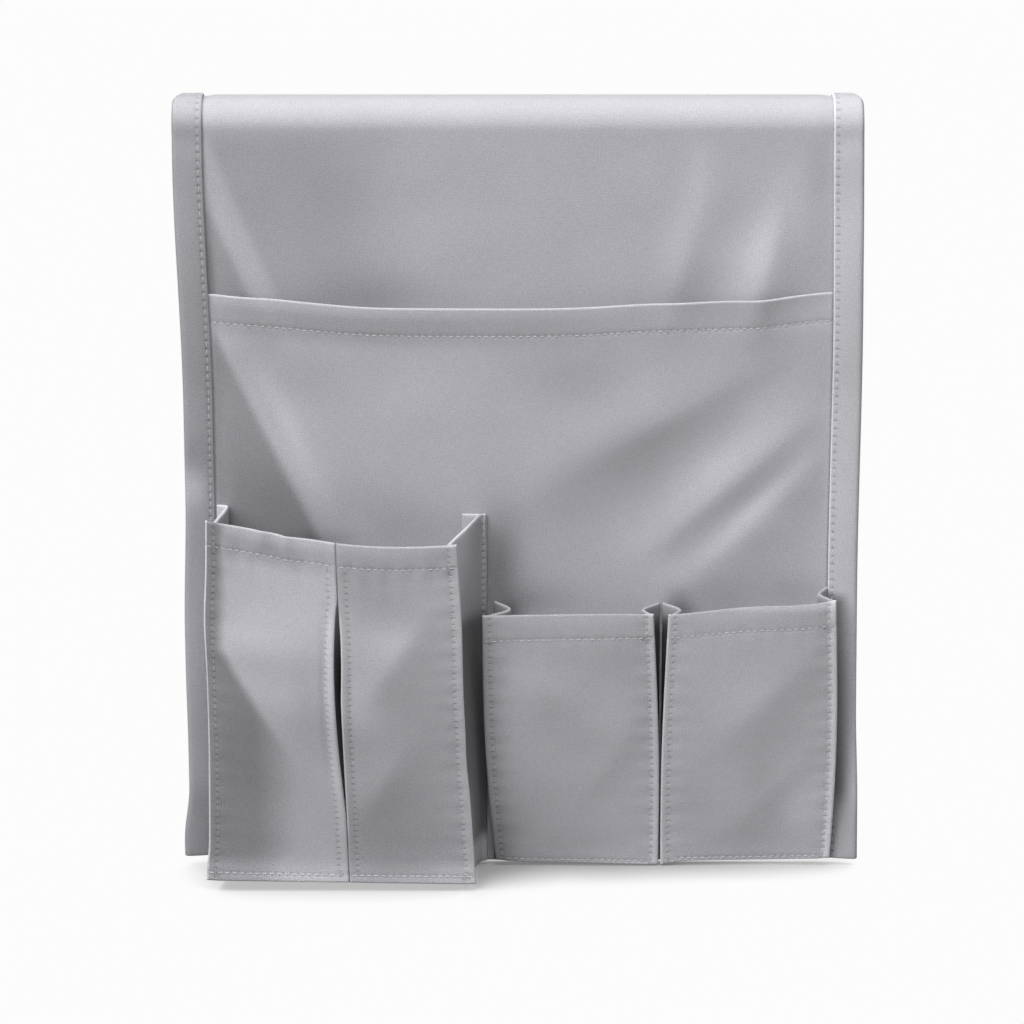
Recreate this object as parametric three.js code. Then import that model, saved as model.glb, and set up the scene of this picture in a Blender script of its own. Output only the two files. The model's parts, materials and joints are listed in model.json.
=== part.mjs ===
// A cloth organizer that hangs over the arm of a couch. One strip of interlined canvas is folded over
// the arm: its front drop carries a wide magazine pocket, and on that sit a box-shaped tissue pocket with
// a slit and two pleated pockets for remote controls. Behind, the strip goes on as a cover for the arm
// and a flap that is tucked in. Millimetres, +Z up, the front faces -Y. The origin is in the middle of
// the underside of the fold, where the strip rests on the arm.
import * as THREE from "three";

// Cloth
const CLOTH = 0.8; // one layer, with its interlining
const LAYER_GAP = 0.3; // room between two layers that lie on each other
const LAYER = CLOTH + LAYER_GAP; // from the middle of one layer to the middle of the next
const HEM_DEPTH = 12; // of the turned hem at each pocket mouth
const SEAM_ALLOWANCE = 3.6; // from a topstitched edge to its stitches

// Strip
const WIDTH = 300;
const FOLD_RADIUS = 12; // to the middle of the cloth
const FOLD_FLAT = 6; // flat strip in the middle of the fold, which rests on the arm
const FRONT_DROP = 330; // below the centre of the fold's curves
const ARM_DROP = 150;
const TUCK_DROP = 150;
const TURNED_HEM = 14; // across the hems at the two ends of the strip
const BAND_WIDTH = 13.5; // across the side hems
const BAND_LEG = 2.2; // of a band's end that lies beside the edge of the strip, from the outer edge in
const GRIP_WIDTH = 14;
const GRIP_LENGTH = 240;
const GRIP_THICKNESS = 0.6;
const GRIP_DEPTHS = [40, 100]; // below the fold's curves

// Magazine pocket
const MAGAZINE_MOUTH = 85; // below the origin, at the sides
const MAGAZINE_SAG = 5; // of the mouth in its middle
const MAGAZINE_BULGE = 12; // of the mouth, forward of its sewn sides
const MAGAZINE_SLACK = 0.12; // share of that bulge which is left at the bottom
const MAGAZINE_MARGIN = 3.8; // from the strip's outer edge to the pocket's own

// Tissue pocket. Pairs are left and right, or at the mouth and at the foot; heights count from the bottom
const TISSUE_FRONT = 43; // from the middle of the front panel's cloth to that of the pocket's front
const TISSUE_INSETS = [0.5, 0.3]; // of the front's left edge from the strip's left seam, mouth and foot
const TISSUE_WIDTHS = [108.4, 117.4]; // of the front, mouth and foot
const TISSUE_SEAM = [55.7, 62]; // from the front's left edge to the seam between its halves
const TISSUE_HEIGHTS = [165.1, 155.2]; // of the front's upper corners
const TISSUE_FEET = [3, 1.2]; // of its lower corners
const TISSUE_SAG = 4; // of the mouth between its corners
const TISSUE_ATTACH = [7.5, 122]; // from the strip's left seam to the gussets' folds on the magazine pocket
const TISSUE_ATTACH_HEIGHTS = [163.6, 160.6]; // of the gussets' upper ends there
const TISSUE_FLANGE = 11; // of a gusset, sewn on the magazine pocket
const SLIT_WIDTH = 2.8;
const SLIT_HEIGHTS = [132.3, 32.6]; // where the sewn parts of the seam end
const BASE_RISE = 3.6; // from the bottom edge of the pocket's front to its base

// Remote pockets, from the left seam of their strip of cloth to the right one
const REMOTE_FRONT = 28; // from the middle of the panel's cloth to that of the fronts, at their mouths
const REMOTE_REFERENCE = 122.6; // height at which the fronts stand that far out
const REMOTE_GAP = 2.5; // from the tissue pocket's right gusset to the first seam
const REMOTE_HEIGHTS = [119.1, 119.7, 119.7, 126]; // of the mouths at the fronts' edges
const REMOTE_OVERHANGS = [4.6, -3.7, -2.6, 1.4]; // of those edges outwards over their seams, at the mouth
const REMOTE_FEET = [-1.2, -0.5, -0.5, 0.3]; // the same at the foot
const REMOTE_BOW = 1.2; // outwards, of those edges between mouth and foot
const REMOTE_CROWN = 2.5; // of a front between its edges
const REMOTE_SEAM_HEIGHTS = [121.4, 120.2, 126.1]; // of the cloth's upper edge at its seams
const PLEAT_DEPTH = 8; // from a seam to the pleat's inner fold
const PLEAT_ROUND = 4; // reach of the rounding at that fold
const PLEAT_LAYERS = 3; // layers between the magazine pocket and a front at the bottom, the front included

// Soft folds of the hanging cloth
const FOLD_REACH = 12; // from a fold's crest to where it has fallen by two thirds
const FOLD_RISE = 2.4;

// Places that follow from the sizes
const AXIS_Z = CLOTH / 2 - FOLD_RADIUS; // centre of the fold's curves
const DROP_Y = FOLD_FLAT / 2 + FOLD_RADIUS; // of the hanging cloth, before and behind
const BOTTOM_Z = AXIS_Z - FRONT_DROP;
const TUCK_TOP_Z = AXIS_Z - ARM_DROP;
const TUCK_BOTTOM_Z = TUCK_TOP_Z - TUCK_DROP;
const OUTER_X = WIDTH / 2 - CLOTH / 2; // middle of the cloth at the strip's outermost turn
const LEG_X = WIDTH / 2 - BAND_LEG; // where a band's turned leg ends
const PANEL_X = LEG_X - LAYER_GAP; // where the strip's own cloth meets it
const MAGAZINE_X = WIDTH / 2 - MAGAZINE_MARGIN;
const SEWN_X = WIDTH / 2 - BAND_WIDTH; // the magazine pocket is free inside this
const TISSUE_TOP_LEFT = [TISSUE_INSETS[0] - SEWN_X, BOTTOM_Z + TISSUE_HEIGHTS[0]]; // x and z of corners
const TISSUE_TOP_RIGHT = [TISSUE_TOP_LEFT[0] + TISSUE_WIDTHS[0], BOTTOM_Z + TISSUE_HEIGHTS[1]];
const TISSUE_BOTTOM_LEFT = [TISSUE_INSETS[1] - SEWN_X, BOTTOM_Z + TISSUE_FEET[0]];
const TISSUE_BOTTOM_RIGHT = [TISSUE_BOTTOM_LEFT[0] + TISSUE_WIDTHS[1], BOTTOM_Z + TISSUE_FEET[1]];
const [TISSUE_ATTACH_LEFT, TISSUE_ATTACH_RIGHT] = TISSUE_ATTACH.map((inset) => inset - SEWN_X);
const FIRST_SEAM = TISSUE_ATTACH_RIGHT + REMOTE_GAP;
const REMOTE_SEAMS = [FIRST_SEAM, (FIRST_SEAM + SEWN_X) / 2, SEWN_X]; // x where the pleated cloth is sewn

const clamp01 = (t) => Math.min(1, Math.max(0, t));
const mix = (a, b, t) => a + (b - a) * t;
const smooth = (t) => clamp01(t) ** 2 * (3 - 2 * clamp01(t));
const steps = (count) => Array.from({ length: count + 1 }, (_, i) => i / count);

/** A closed sheet round a grid of points in the middle of its cloth: rows of Vector3, all as long. */
function sheet(rows, thickness = CLOTH) {
  const across = rows[0].length;
  const last = rows.length - 1;
  const front = [];
  const back = [];
  rows.forEach((row, i) =>
    row.forEach((point, j) => {
      const along = row[Math.min(j + 1, across - 1)].clone().sub(row[Math.max(j - 1, 0)]);
      const down = rows[Math.min(i + 1, last)][j].clone().sub(rows[Math.max(i - 1, 0)][j]);
      const offset = along.cross(down).normalize().multiplyScalar(thickness / 2);
      front.push(point.clone().add(offset));
      back.push(point.clone().sub(offset));
    }),
  );
  const count = front.length;
  const index = [];
  const quad = (a, b, c, d) => index.push(a, b, c, a, c, d);
  for (let i = 0; i < last; i++) {
    for (let j = 0; j < across - 1; j++) {
      const a = i * across + j;
      const c = a + across + 1;
      quad(a, a + 1, c, c - 1);
      quad(count + a, count + c - 1, count + c, count + a + 1);
    }
  }
  const rim = [];
  for (let j = 0; j < across - 1; j++) rim.push(j);
  for (let i = 0; i < last; i++) rim.push(i * across + across - 1);
  for (let j = across - 1; j > 0; j--) rim.push(last * across + j);
  for (let i = last; i > 0; i--) rim.push(i * across);
  rim.forEach((p, k) => {
    const q = rim[(k + 1) % rim.length];
    quad(q, p, count + p, count + q);
  });
  const geometry = new THREE.BufferGeometry().setFromPoints([...front, ...back]);
  geometry.setIndex(index);
  geometry.computeVertexNormals();
  return geometry;
}

/** A line through corners that turns on an arc at each; the arc leaves the sides at that corner's reach. */
function roundedLine(corners, reaches, arcSteps) {
  const line = [corners[0]];
  for (let i = 1; i < corners.length - 1; i++) {
    const corner = corners[i];
    const back = corners[i - 1].clone().sub(corner).normalize();
    const ahead = corners[i + 1].clone().sub(corner).normalize();
    const half = Math.acos(clamp01((back.dot(ahead) + 1) / 2) ** 0.5);
    const reach = reaches[i - 1];
    const radius = reach * Math.tan(half);
    const centre = back.clone().add(ahead).normalize().multiplyScalar(reach / Math.cos(half)).add(corner);
    const spoke = back.clone().multiplyScalar(reach).add(corner).sub(centre);
    const turn = Math.sign(ahead.cross(back)) * (Math.PI - 2 * half);
    for (const t of steps(arcSteps)) {
      const point = spoke.clone().rotateAround(new THREE.Vector2(), turn * t);
      line.push(point.setLength(radius).add(centre));
    }
  }
  line.push(corners.at(-1));
  return line;
}

/**
 * Height of soft folds at x, z. Each is a bell across a line and fades at both ends of it. The line's ends
 * are shares of the frame's width and height, from its upper left corner.
 */
function foldHeight(folds, frame, x, z) {
  const place = ([across, down]) => [frame.x + across * frame.width, frame.z - down * frame.height];
  return folds.reduce((sum, { from, to, reach, rise }) => {
    const [startX, startZ] = place(from);
    const [endX, endZ] = place(to);
    const along = new THREE.Vector2(endX - startX, endZ - startZ);
    const offset = new THREE.Vector2(x - startX, z - startZ);
    const t = offset.dot(along) / along.lengthSq();
    const side = offset.cross(along) / along.length() / (reach * FOLD_REACH);
    return sum + rise * FOLD_RISE * Math.exp(-side * side) * Math.sin(Math.PI * clamp01(t)) ** 2;
  }, 0);
}

// Main folds of the hanging cloth. Those of the strip are in shares of its front drop
const DROP_FRAME = { x: -WIDTH / 2, z: 0, width: WIDTH, height: -BOTTOM_Z };
const PANEL_FOLDS = [
  { from: [0.77, 0.02], to: [0.72, 0.29], reach: 0.7, rise: 0.9 },
  { from: [0.9, 0.05], to: [0.82, 0.3], reach: 0.7, rise: 1.2 },
  { from: [0.04, 0.07], to: [0.14, 0.3], reach: 0.75, rise: 1 },
];
const MAGAZINE_FOLDS = [
  { from: [0.05, 0.26], to: [0.26, 0.6], reach: 1.2, rise: 1.4 },
  { from: [0.93, 0.24], to: [0.42, 0.54], reach: 1.2, rise: 0.9 },
  { from: [0.98, 0.37], to: [0.64, 0.63], reach: 1, rise: 1.2 },
  { from: [0.98, 0.49], to: [0.67, 0.7], reach: 0.8, rise: 0.9 },
];
const ARM_FOLDS = [
  { from: [0.27, 0.03], to: [0.33, 0.47], reach: 1.8, rise: 0.7 },
  { from: [0.75, 0.01], to: [0.7, 0.46], reach: 2.2, rise: 0.8 },
];

// Middle of each layer of cloth, as y over x and z

/** Share of its folds that the cloth keeps near its sewn sides, where it lies flat. */
const freedom = (x) => smooth((SEWN_X - Math.abs(x)) / BAND_WIDTH);

const panelY = (x, z) => -DROP_Y - freedom(x) * foldHeight(PANEL_FOLDS, DROP_FRAME, x, z);

/** How open the magazine pocket stands at x: nothing at its sewn sides, all of it in the middle. */
const openness = (x) => clamp01(1 - (x / SEWN_X) ** 2) ** 1.2;

const magazineTop = (x) => -MAGAZINE_MOUTH - MAGAZINE_SAG * openness(x);

/** Layers under the magazine pocket's cloth: two behind its hem, where the hem's leg lies, then one. */
const magazineLayers = (z) => 2 - smooth((-MAGAZINE_MOUTH - HEM_DEPTH - z) / (3 * HEM_DEPTH));

function magazineY(x, z) {
  const height = clamp01((z - BOTTOM_Z) / (-MAGAZINE_MOUTH - BOTTOM_Z));
  const share = mix(MAGAZINE_SLACK, 1, height ** 0.8) * openness(x);
  const folds = freedom(x) * foldHeight(MAGAZINE_FOLDS, DROP_FRAME, x, z);
  return -DROP_Y - LAYER * magazineLayers(z) - MAGAZINE_BULGE * share - folds;
}

const armY = (x, z) => DROP_Y + freedom(x) * foldHeight(ARM_FOLDS, DROP_FRAME, x, z);

const tuckY = () => DROP_Y;

/** Where the strip's cloth is at a distance along it: 0 in the middle of the fold, more to the front. */
function stripPoint(distance) {
  const forward = Math.sign(distance) || 1;
  const beyond = Math.max(0, Math.abs(distance) - FOLD_FLAT / 2);
  const turn = Math.min(beyond / FOLD_RADIUS, Math.PI / 2);
  const hanging = Math.max(0, beyond - (FOLD_RADIUS * Math.PI) / 2);
  const flat = Math.min(Math.abs(distance), FOLD_FLAT / 2);
  return {
    y: -forward * (flat + FOLD_RADIUS * Math.sin(turn)),
    z: AXIS_Z + FOLD_RADIUS * Math.cos(turn) - hanging,
    normal: new THREE.Vector2(-forward * Math.sin(turn), Math.cos(turn)),
  };
}
const HALF_FOLD = FOLD_FLAT / 2 + (FOLD_RADIUS * Math.PI) / 2; // from the fold's middle to a hanging drop

/** A hanging sheet: columns at each x, rows from its upper edge to its lower one. */
function hanging(xs, rowCount, top, bottom, yAt) {
  return steps(rowCount).map((t) =>
    xs.map((x) => {
      const z = mix(top(x), bottom(x), t);
      return new THREE.Vector3(x, yAt(x, z), z);
    }),
  );
}

/**
 * A pocket's cloth with a hem turned in at its mouth: the hem's leg, its turn, then the face down to the
 * bottom. top and bottom give a column's ends, and place its point at a height, some way behind the face.
 */
function hemmed(columnsAcross, faceRows, top, bottom, place) {
  const radius = LAYER / 2;
  const row = (heightOf, behind) => columnsAcross.map((c) => place(c, heightOf(c), behind));
  const leg = [HEM_DEPTH, HEM_DEPTH / 2].map((depth) => row((c) => top(c) - depth, LAYER));
  const turn = [0, 0.25, 0.5, 0.75].map((t) => {
    const angle = Math.PI * t;
    return row((c) => top(c) - radius + radius * Math.sin(angle), radius + radius * Math.cos(angle));
  });
  const face = steps(faceRows).map((t) => row((c) => mix(top(c) - radius, bottom(c), t), 0));
  return [...leg, ...turn, ...face];
}

const span = (from, to, count) => steps(count).map((t) => mix(from, to, t));

/** Columns across the strip: even ones where the cloth is free, and one more out to each edge. */
const columns = (edge, count) => [-edge, ...span(-SEWN_X, SEWN_X, count), edge];

/**
 * One side hem over a stretch of the strip. Its section goes from the stitched inner edge out over the
 * layers below, round the outer edge and back to the edge of the strip. side is -1 for left.
 */
function band(side, distances, layersAt) {
  const rows = distances.map((distance) => {
    const { y, z, normal } = stripPoint(distance);
    const height = LAYER * layersAt(distance);
    const radius = height / 2;
    const turnX = OUTER_X - radius;
    const section = [
      [WIDTH / 2 - BAND_WIDTH, height],
      [mix(WIDTH / 2 - BAND_WIDTH, turnX, 0.5), height],
      ...steps(6).map((t) => {
        const angle = Math.PI * (0.5 - t);
        return [turnX + radius * Math.cos(angle), radius + radius * Math.sin(angle)];
      }),
      [LEG_X, 0],
    ];
    return section.map(
      ([x, lift]) => new THREE.Vector3(side * x, y + normal.x * lift, z + normal.y * lift),
    );
  });
  return sheet(rows);
}

/** Layers between the strip and a side hem on the front drop: the magazine pocket's, below its mouth. */
function frontLayers(distance) {
  const z = AXIS_Z - (distance - HALF_FOLD);
  const covered = smooth((-MAGAZINE_MOUTH + HEM_DEPTH - z) / HEM_DEPTH);
  return 1 + covered * magazineLayers(z);
}

const oneLayer = () => 1;

/** The hem at an end of the strip, turned in to the arm's side: faces is -1 on the front drop. */
function endHem(faces, bottomZ) {
  const radius = LAYER / 2;
  const outer = faces * DROP_Y;
  const turnZ = bottomZ + CLOTH / 2 + radius;
  const section = [
    [outer - faces * LAYER, bottomZ + TURNED_HEM],
    ...steps(5).map((t) => {
      const angle = Math.PI * t;
      return [outer - faces * radius * (1 + Math.cos(angle)), turnZ - radius * Math.sin(angle)];
    }),
    [outer, turnZ + LAYER_GAP],
  ];
  return sheet(section.map(([y, z]) => [-PANEL_X, PANEL_X].map((x) => new THREE.Vector3(x, y, z))));
}
const END_EDGE = CLOTH / 2 + LAYER / 2 + 2 * LAYER_GAP; // from an end of the strip up to its own cloth

function gripStrip(depth) {
  const outwards = (CLOTH + GRIP_THICKNESS) / 2 + LAYER_GAP;
  const z = AXIS_Z - depth;
  const xs = span(-GRIP_LENGTH / 2, GRIP_LENGTH / 2, 16);
  const onArm = (x, at) => armY(x, at) - outwards;
  return sheet(hanging(xs, 2, () => z, () => z - GRIP_WIDTH, onArm), GRIP_THICKNESS);
}

// The tissue pocket's front lies in one upright plane and has a soft fold in each half
const TISSUE_Y = -DROP_Y - TISSUE_FRONT;
const TISSUE_FRAME = {
  x: TISSUE_TOP_LEFT[0],
  z: TISSUE_TOP_LEFT[1],
  width: TISSUE_WIDTHS[0],
  height: TISSUE_HEIGHTS[0],
};
const TISSUE_FOLDS = [
  { from: [0.01, 0.27], to: [0.44, 0.97], reach: 1.5, rise: 1.3 },
  { from: [0.95, 0.12], to: [0.6, 0.68], reach: 1.2, rise: 0.8 },
];
const tissueY = (x, z) => TISSUE_Y - foldHeight(TISSUE_FOLDS, TISSUE_FRAME, x, z);

/** x at a height along an edge from its upper corner to its lower one; a corner is x and z. */
const edgeX = (upper, lower, z) => mix(upper[0], lower[0], (z - upper[1]) / (lower[1] - upper[1]));
const tissueLeftX = (z) => edgeX(TISSUE_TOP_LEFT, TISSUE_BOTTOM_LEFT, z);
const tissueRightX = (z) => edgeX(TISSUE_TOP_RIGHT, TISSUE_BOTTOM_RIGHT, z);

/** x of a half's inner edge: along the seam, and drawn apart between the ends of the slit. */
function slitX(side, z) {
  const top = [TISSUE_TOP_LEFT[0] + TISSUE_SEAM[0], TISSUE_TOP_LEFT[1]];
  const bottom = [TISSUE_BOTTOM_LEFT[0] + TISSUE_SEAM[1], TISSUE_BOTTOM_LEFT[1]];
  const seam = edgeX(top, bottom, z);
  const t = clamp01((BOTTOM_Z + SLIT_HEIGHTS[0] - z) / (SLIT_HEIGHTS[0] - SLIT_HEIGHTS[1]));
  const apart = mix(LAYER_GAP, SLIT_WIDTH, Math.sin(Math.PI * t) ** 2);
  return seam + (side * apart) / 2;
}

/** One half of the tissue pocket's front, from its outer edge to the slit. side is -1 for left. */
function tissueFront(side) {
  const outerX = side < 0 ? tissueLeftX : tissueRightX;
  const shares = side < 0 ? span(0, 1, 8) : span(1, 0, 8);
  const across = (share) => {
    const x = mix(outerX(TISSUE_TOP_LEFT[1]), slitX(side, TISSUE_TOP_LEFT[1]), share);
    return (x - TISSUE_TOP_LEFT[0]) / (TISSUE_TOP_RIGHT[0] - TISSUE_TOP_LEFT[0]);
  };
  const top = (share) => {
    const t = across(share);
    return mix(TISSUE_TOP_LEFT[1], TISSUE_TOP_RIGHT[1], t) - TISSUE_SAG * Math.sin(Math.PI * clamp01(t));
  };
  const bottom = (share) => mix(TISSUE_BOTTOM_LEFT[1], TISSUE_BOTTOM_RIGHT[1], across(share));
  const place = (share, z, behind) => {
    const x = mix(outerX(z), slitX(side, z), share);
    return new THREE.Vector3(x, tissueY(x, z) + behind, z);
  };
  return sheet(hemmed(shares, 14, top, bottom, place));
}

/**
 * A wall of the tissue pocket. Its plan goes from a flange sewn on the magazine pocket, round the fold
 * where it is attached, forward to the front and out along the front's edge. side is -1 for left.
 */
function tissueGusset(side) {
  const attachX = side < 0 ? TISSUE_ATTACH_LEFT : TISSUE_ATTACH_RIGHT;
  const attachTop = BOTTOM_Z + TISSUE_ATTACH_HEIGHTS[side < 0 ? 0 : 1];
  const frontTop = side < 0 ? TISSUE_TOP_LEFT : TISSUE_TOP_RIGHT;
  const frontBottom = side < 0 ? TISSUE_BOTTOM_LEFT : TISSUE_BOTTOM_RIGHT;
  const edge = side < 0 ? tissueLeftX : tissueRightX;
  const flangeX = Math.max(attachX - TISSUE_FLANGE, LAYER_GAP - SEWN_X);
  const behindHem = 2 * LAYER;
  const rows = steps(10).map((t) => {
    const backZ = mix(attachTop, BOTTOM_Z, t);
    const frontZ = mix(frontTop[1] - LAYER, frontBottom[1], t);
    const onPocket = (x) => magazineY(x, backZ) - LAYER;
    const stitchX = edge(frontZ) - side * SEAM_ALLOWANCE;
    const frontY = TISSUE_Y + behindHem;
    const plan = roundedLine(
      [
        new THREE.Vector2(flangeX, onPocket(flangeX)),
        new THREE.Vector2(attachX, onPocket(attachX)),
        new THREE.Vector2(stitchX, frontY),
        new THREE.Vector2(stitchX + side * SEAM_ALLOWANCE, frontY),
      ],
      [1, 1],
      3,
    );
    const farthest = onPocket(attachX);
    return plan.map(({ x, y }) => {
      const share = clamp01((farthest - y) / (farthest - frontY));
      return new THREE.Vector3(x, y, mix(backZ, frontZ, share));
    });
  });
  return sheet(rows);
}

/** The tissue pocket's floor, with a flange turned down at the back and at the front. */
function tissueBase() {
  const clearance = SEAM_ALLOWANCE + CLOTH + 2 * LAYER_GAP;
  const frontY = TISSUE_Y + LAYER;
  const rows = steps(6).map((t) => {
    const frontX = mix(TISSUE_BOTTOM_LEFT[0] + clearance, TISSUE_BOTTOM_RIGHT[0] - clearance, t);
    const backX = mix(TISSUE_ATTACH_LEFT + clearance / 2, TISSUE_ATTACH_RIGHT - clearance - CLOTH, t);
    const bottom = mix(TISSUE_BOTTOM_LEFT[1], TISSUE_BOTTOM_RIGHT[1], t);
    const floor = bottom + BASE_RISE;
    const backY = magazineY(backX, floor) - 2 * LAYER;
    const side = roundedLine(
      [
        new THREE.Vector2(backY, BOTTOM_Z),
        new THREE.Vector2(backY, floor),
        new THREE.Vector2(frontY, floor),
        new THREE.Vector2(frontY, bottom),
      ],
      [1, 1],
      3,
    );
    return side.map((p) => {
      const share = clamp01((backY - p.x) / (backY - frontY));
      return new THREE.Vector3(mix(backX, frontX, share), p.x, p.y);
    });
  });
  return sheet(rows);
}

const REMOTE_FOOT_Y = -DROP_Y - LAYER * (1 + PLEAT_LAYERS) - MAGAZINE_BULGE * MAGAZINE_SLACK;

const remotePlaneY = (z) => {
  const height = clamp01((z - BOTTOM_Z) / REMOTE_REFERENCE);
  return mix(REMOTE_FOOT_Y, -DROP_Y - REMOTE_FRONT, height);
};

/** One edge of a remote pocket's front: its seam, the height of its corner and its x on the way down. */
function remoteEdge(pocket, side) {
  const index = 2 * pocket + (side < 0 ? 0 : 1);
  const seam = pocket + (side < 0 ? 0 : 1);
  const outwards = (fall) =>
    mix(REMOTE_OVERHANGS[index], REMOTE_FEET[index], fall) + REMOTE_BOW * Math.sin(Math.PI * fall);
  return {
    seamX: REMOTE_SEAMS[seam],
    seamTop: BOTTOM_Z + REMOTE_SEAM_HEIGHTS[seam],
    top: BOTTOM_Z + REMOTE_HEIGHTS[index],
    x: (fall) => REMOTE_SEAMS[seam] + side * outwards(fall),
  };
}

/** A remote pocket's front: flat at its edges, a low crown between them. */
function remoteFront(pocket) {
  const [left, right] = [-1, 1].map((side) => remoteEdge(pocket, side));
  const top = (share) => mix(left.top, right.top, share);
  const place = (share, z, behind) => {
    const fall = clamp01((top(share) - z) / (top(share) - BOTTOM_Z));
    const x = mix(left.x(fall), right.x(fall), share);
    const crown = REMOTE_CROWN * Math.sin(Math.PI * share) * Math.sin(Math.PI * mix(0.25, 1, fall));
    return new THREE.Vector3(x, remotePlaneY(z) - crown + behind, z);
  };
  return sheet(hemmed(span(0, 1, 12), 12, top, () => BOTTOM_Z, place));
}

/**
 * A pleated side of a remote pocket. Its plan goes from the seam in to the pleat's rounded fold, back out
 * to the front's edge and a little way behind the front. It opens at the mouth and lies flat at the foot.
 */
function remotePleat(pocket, side) {
  const edge = remoteEdge(pocket, side);
  const seamX = edge.seamX - (side * LAYER) / 2;
  const rows = steps(8).map((t) => {
    const backZ = mix(edge.seamTop, BOTTOM_Z, t);
    const frontZ = mix(edge.top - LAYER, BOTTOM_Z, t);
    const fall = clamp01((edge.top - frontZ) / (edge.top - BOTTOM_Z));
    const backY = magazineY(seamX, backZ) - LAYER;
    const frontY = remotePlaneY(frontZ) + mix(2, 1, fall) * LAYER;
    const foldX = seamX - side * PLEAT_DEPTH;
    const foldY = mix(backY, frontY, 0.5);
    const plan = roundedLine(
      [[seamX, backY], [foldX, foldY], [edge.x(fall), frontY]].map(([x, y]) => new THREE.Vector2(x, y)),
      [PLEAT_ROUND],
      6,
    );
    return plan.map(({ x, y }) => {
      const share = clamp01((backY - y) / (backY - frontY));
      return new THREE.Vector3(x, y, mix(backZ, frontZ, share));
    });
  });
  return sheet(rows);
}

// Colours and finishes
const canvas = { color: 0xaeaeb4, roughness: 0.9, metalness: 0 };
const canvasShade = { color: 0xa4a4aa, roughness: 0.9, metalness: 0 };
const hemCloth = { color: 0xb6b6bb, roughness: 0.88, metalness: 0 };
const rubber = { color: 0x5c5c60, roughness: 0.75, metalness: 0 };

const organizer = new THREE.Group();
organizer.name = "couch_organizer";

function addPiece(name, geometry, finish) {
  const piece = new THREE.Mesh(geometry, new THREE.MeshStandardMaterial(finish));
  piece.name = name;
  organizer.add(piece);
}

const constant = (value) => () => value;

// Strip: front drop, fold, arm cover and tuck flap
addPiece(
  "front_panel",
  sheet(
    hanging(
      columns(PANEL_X, 26),
      14,
      constant(AXIS_Z - LAYER_GAP),
      constant(BOTTOM_Z + END_EDGE),
      panelY,
    ),
  ),
  canvas,
);
const foldDistances = [
  ...span(HALF_FOLD, FOLD_FLAT / 2, 9),
  ...span(-FOLD_FLAT / 2, -HALF_FOLD, 9),
];
addPiece(
  "top_fold",
  sheet(
    foldDistances.map((distance) => {
      const { y, z } = stripPoint(distance);
      return span(-PANEL_X, PANEL_X, 4).map((x) => new THREE.Vector3(x, y, z));
    }),
  ),
  canvas,
);
addPiece(
  "arm_cover",
  sheet(
    hanging(
      columns(PANEL_X, 20),
      8,
      constant(AXIS_Z - LAYER_GAP),
      constant(TUCK_TOP_Z + LAYER_GAP / 2),
      armY,
    ),
  ),
  canvas,
);
addPiece(
  "tuck_flap",
  sheet(
    hanging(
      columns(PANEL_X, 6),
      4,
      constant(TUCK_TOP_Z - LAYER_GAP / 2),
      constant(TUCK_BOTTOM_Z + END_EDGE),
      tuckY,
    ),
  ),
  canvas,
);
addPiece("front_hem", endHem(-1, BOTTOM_Z), canvasShade);
addPiece("tuck_hem", endHem(1, TUCK_BOTTOM_Z), canvasShade);

// Side hems, in one piece for each stretch of the strip
const frontLength = HALF_FOLD + FRONT_DROP;
const mouthDistance = HALF_FOLD + AXIS_Z + MAGAZINE_MOUTH;
const frontDistances = [
  ...span(frontLength, mouthDistance + 4.5 * HEM_DEPTH, 3),
  ...span(mouthDistance + 4 * HEM_DEPTH, mouthDistance - HEM_DEPTH, 10),
  HALF_FOLD + LAYER_GAP,
];
const armDistances = [-HALF_FOLD - LAYER_GAP, -HALF_FOLD - ARM_DROP + LAYER_GAP / 2];
const tuckDistances = [-HALF_FOLD - ARM_DROP - LAYER_GAP / 2, -HALF_FOLD - ARM_DROP - TUCK_DROP];
for (const [word, side] of [["left", -1], ["right", 1]]) {
  addPiece(`front_band_${word}`, band(side, frontDistances, frontLayers), hemCloth);
  addPiece(`fold_band_${word}`, band(side, foldDistances, oneLayer), hemCloth);
  addPiece(`arm_band_${word}`, band(side, armDistances, oneLayer), hemCloth);
  addPiece(`tuck_band_${word}`, band(side, tuckDistances, oneLayer), hemCloth);
}

// Grip strips on the underside of the arm cover
addPiece("grip_strip_upper", gripStrip(GRIP_DEPTHS[0]), rubber);
addPiece("grip_strip_lower", gripStrip(GRIP_DEPTHS[1]), rubber);

// Pockets
const onMagazine = (x, z, behind) => new THREE.Vector3(x, magazineY(x, z) + behind, z);
addPiece(
  "magazine_pocket",
  sheet(hemmed(columns(MAGAZINE_X, 20), 17, magazineTop, constant(BOTTOM_Z), onMagazine)),
  canvas,
);
addPiece("tissue_front_left", tissueFront(-1), canvas);
addPiece("tissue_front_right", tissueFront(1), canvas);
addPiece("tissue_gusset_left", tissueGusset(-1), canvasShade);
addPiece("tissue_gusset_right", tissueGusset(1), canvasShade);
addPiece("tissue_base", tissueBase(), canvasShade);
addPiece("remote_front_left", remoteFront(0), canvas);
addPiece("remote_front_right", remoteFront(1), canvas);
addPiece("remote_pleat_1", remotePleat(0, -1), canvasShade);
addPiece("remote_pleat_2", remotePleat(0, 1), canvasShade);
addPiece("remote_pleat_3", remotePleat(1, -1), canvasShade);
addPiece("remote_pleat_4", remotePleat(1, 1), canvasShade);

export default organizer;
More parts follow.
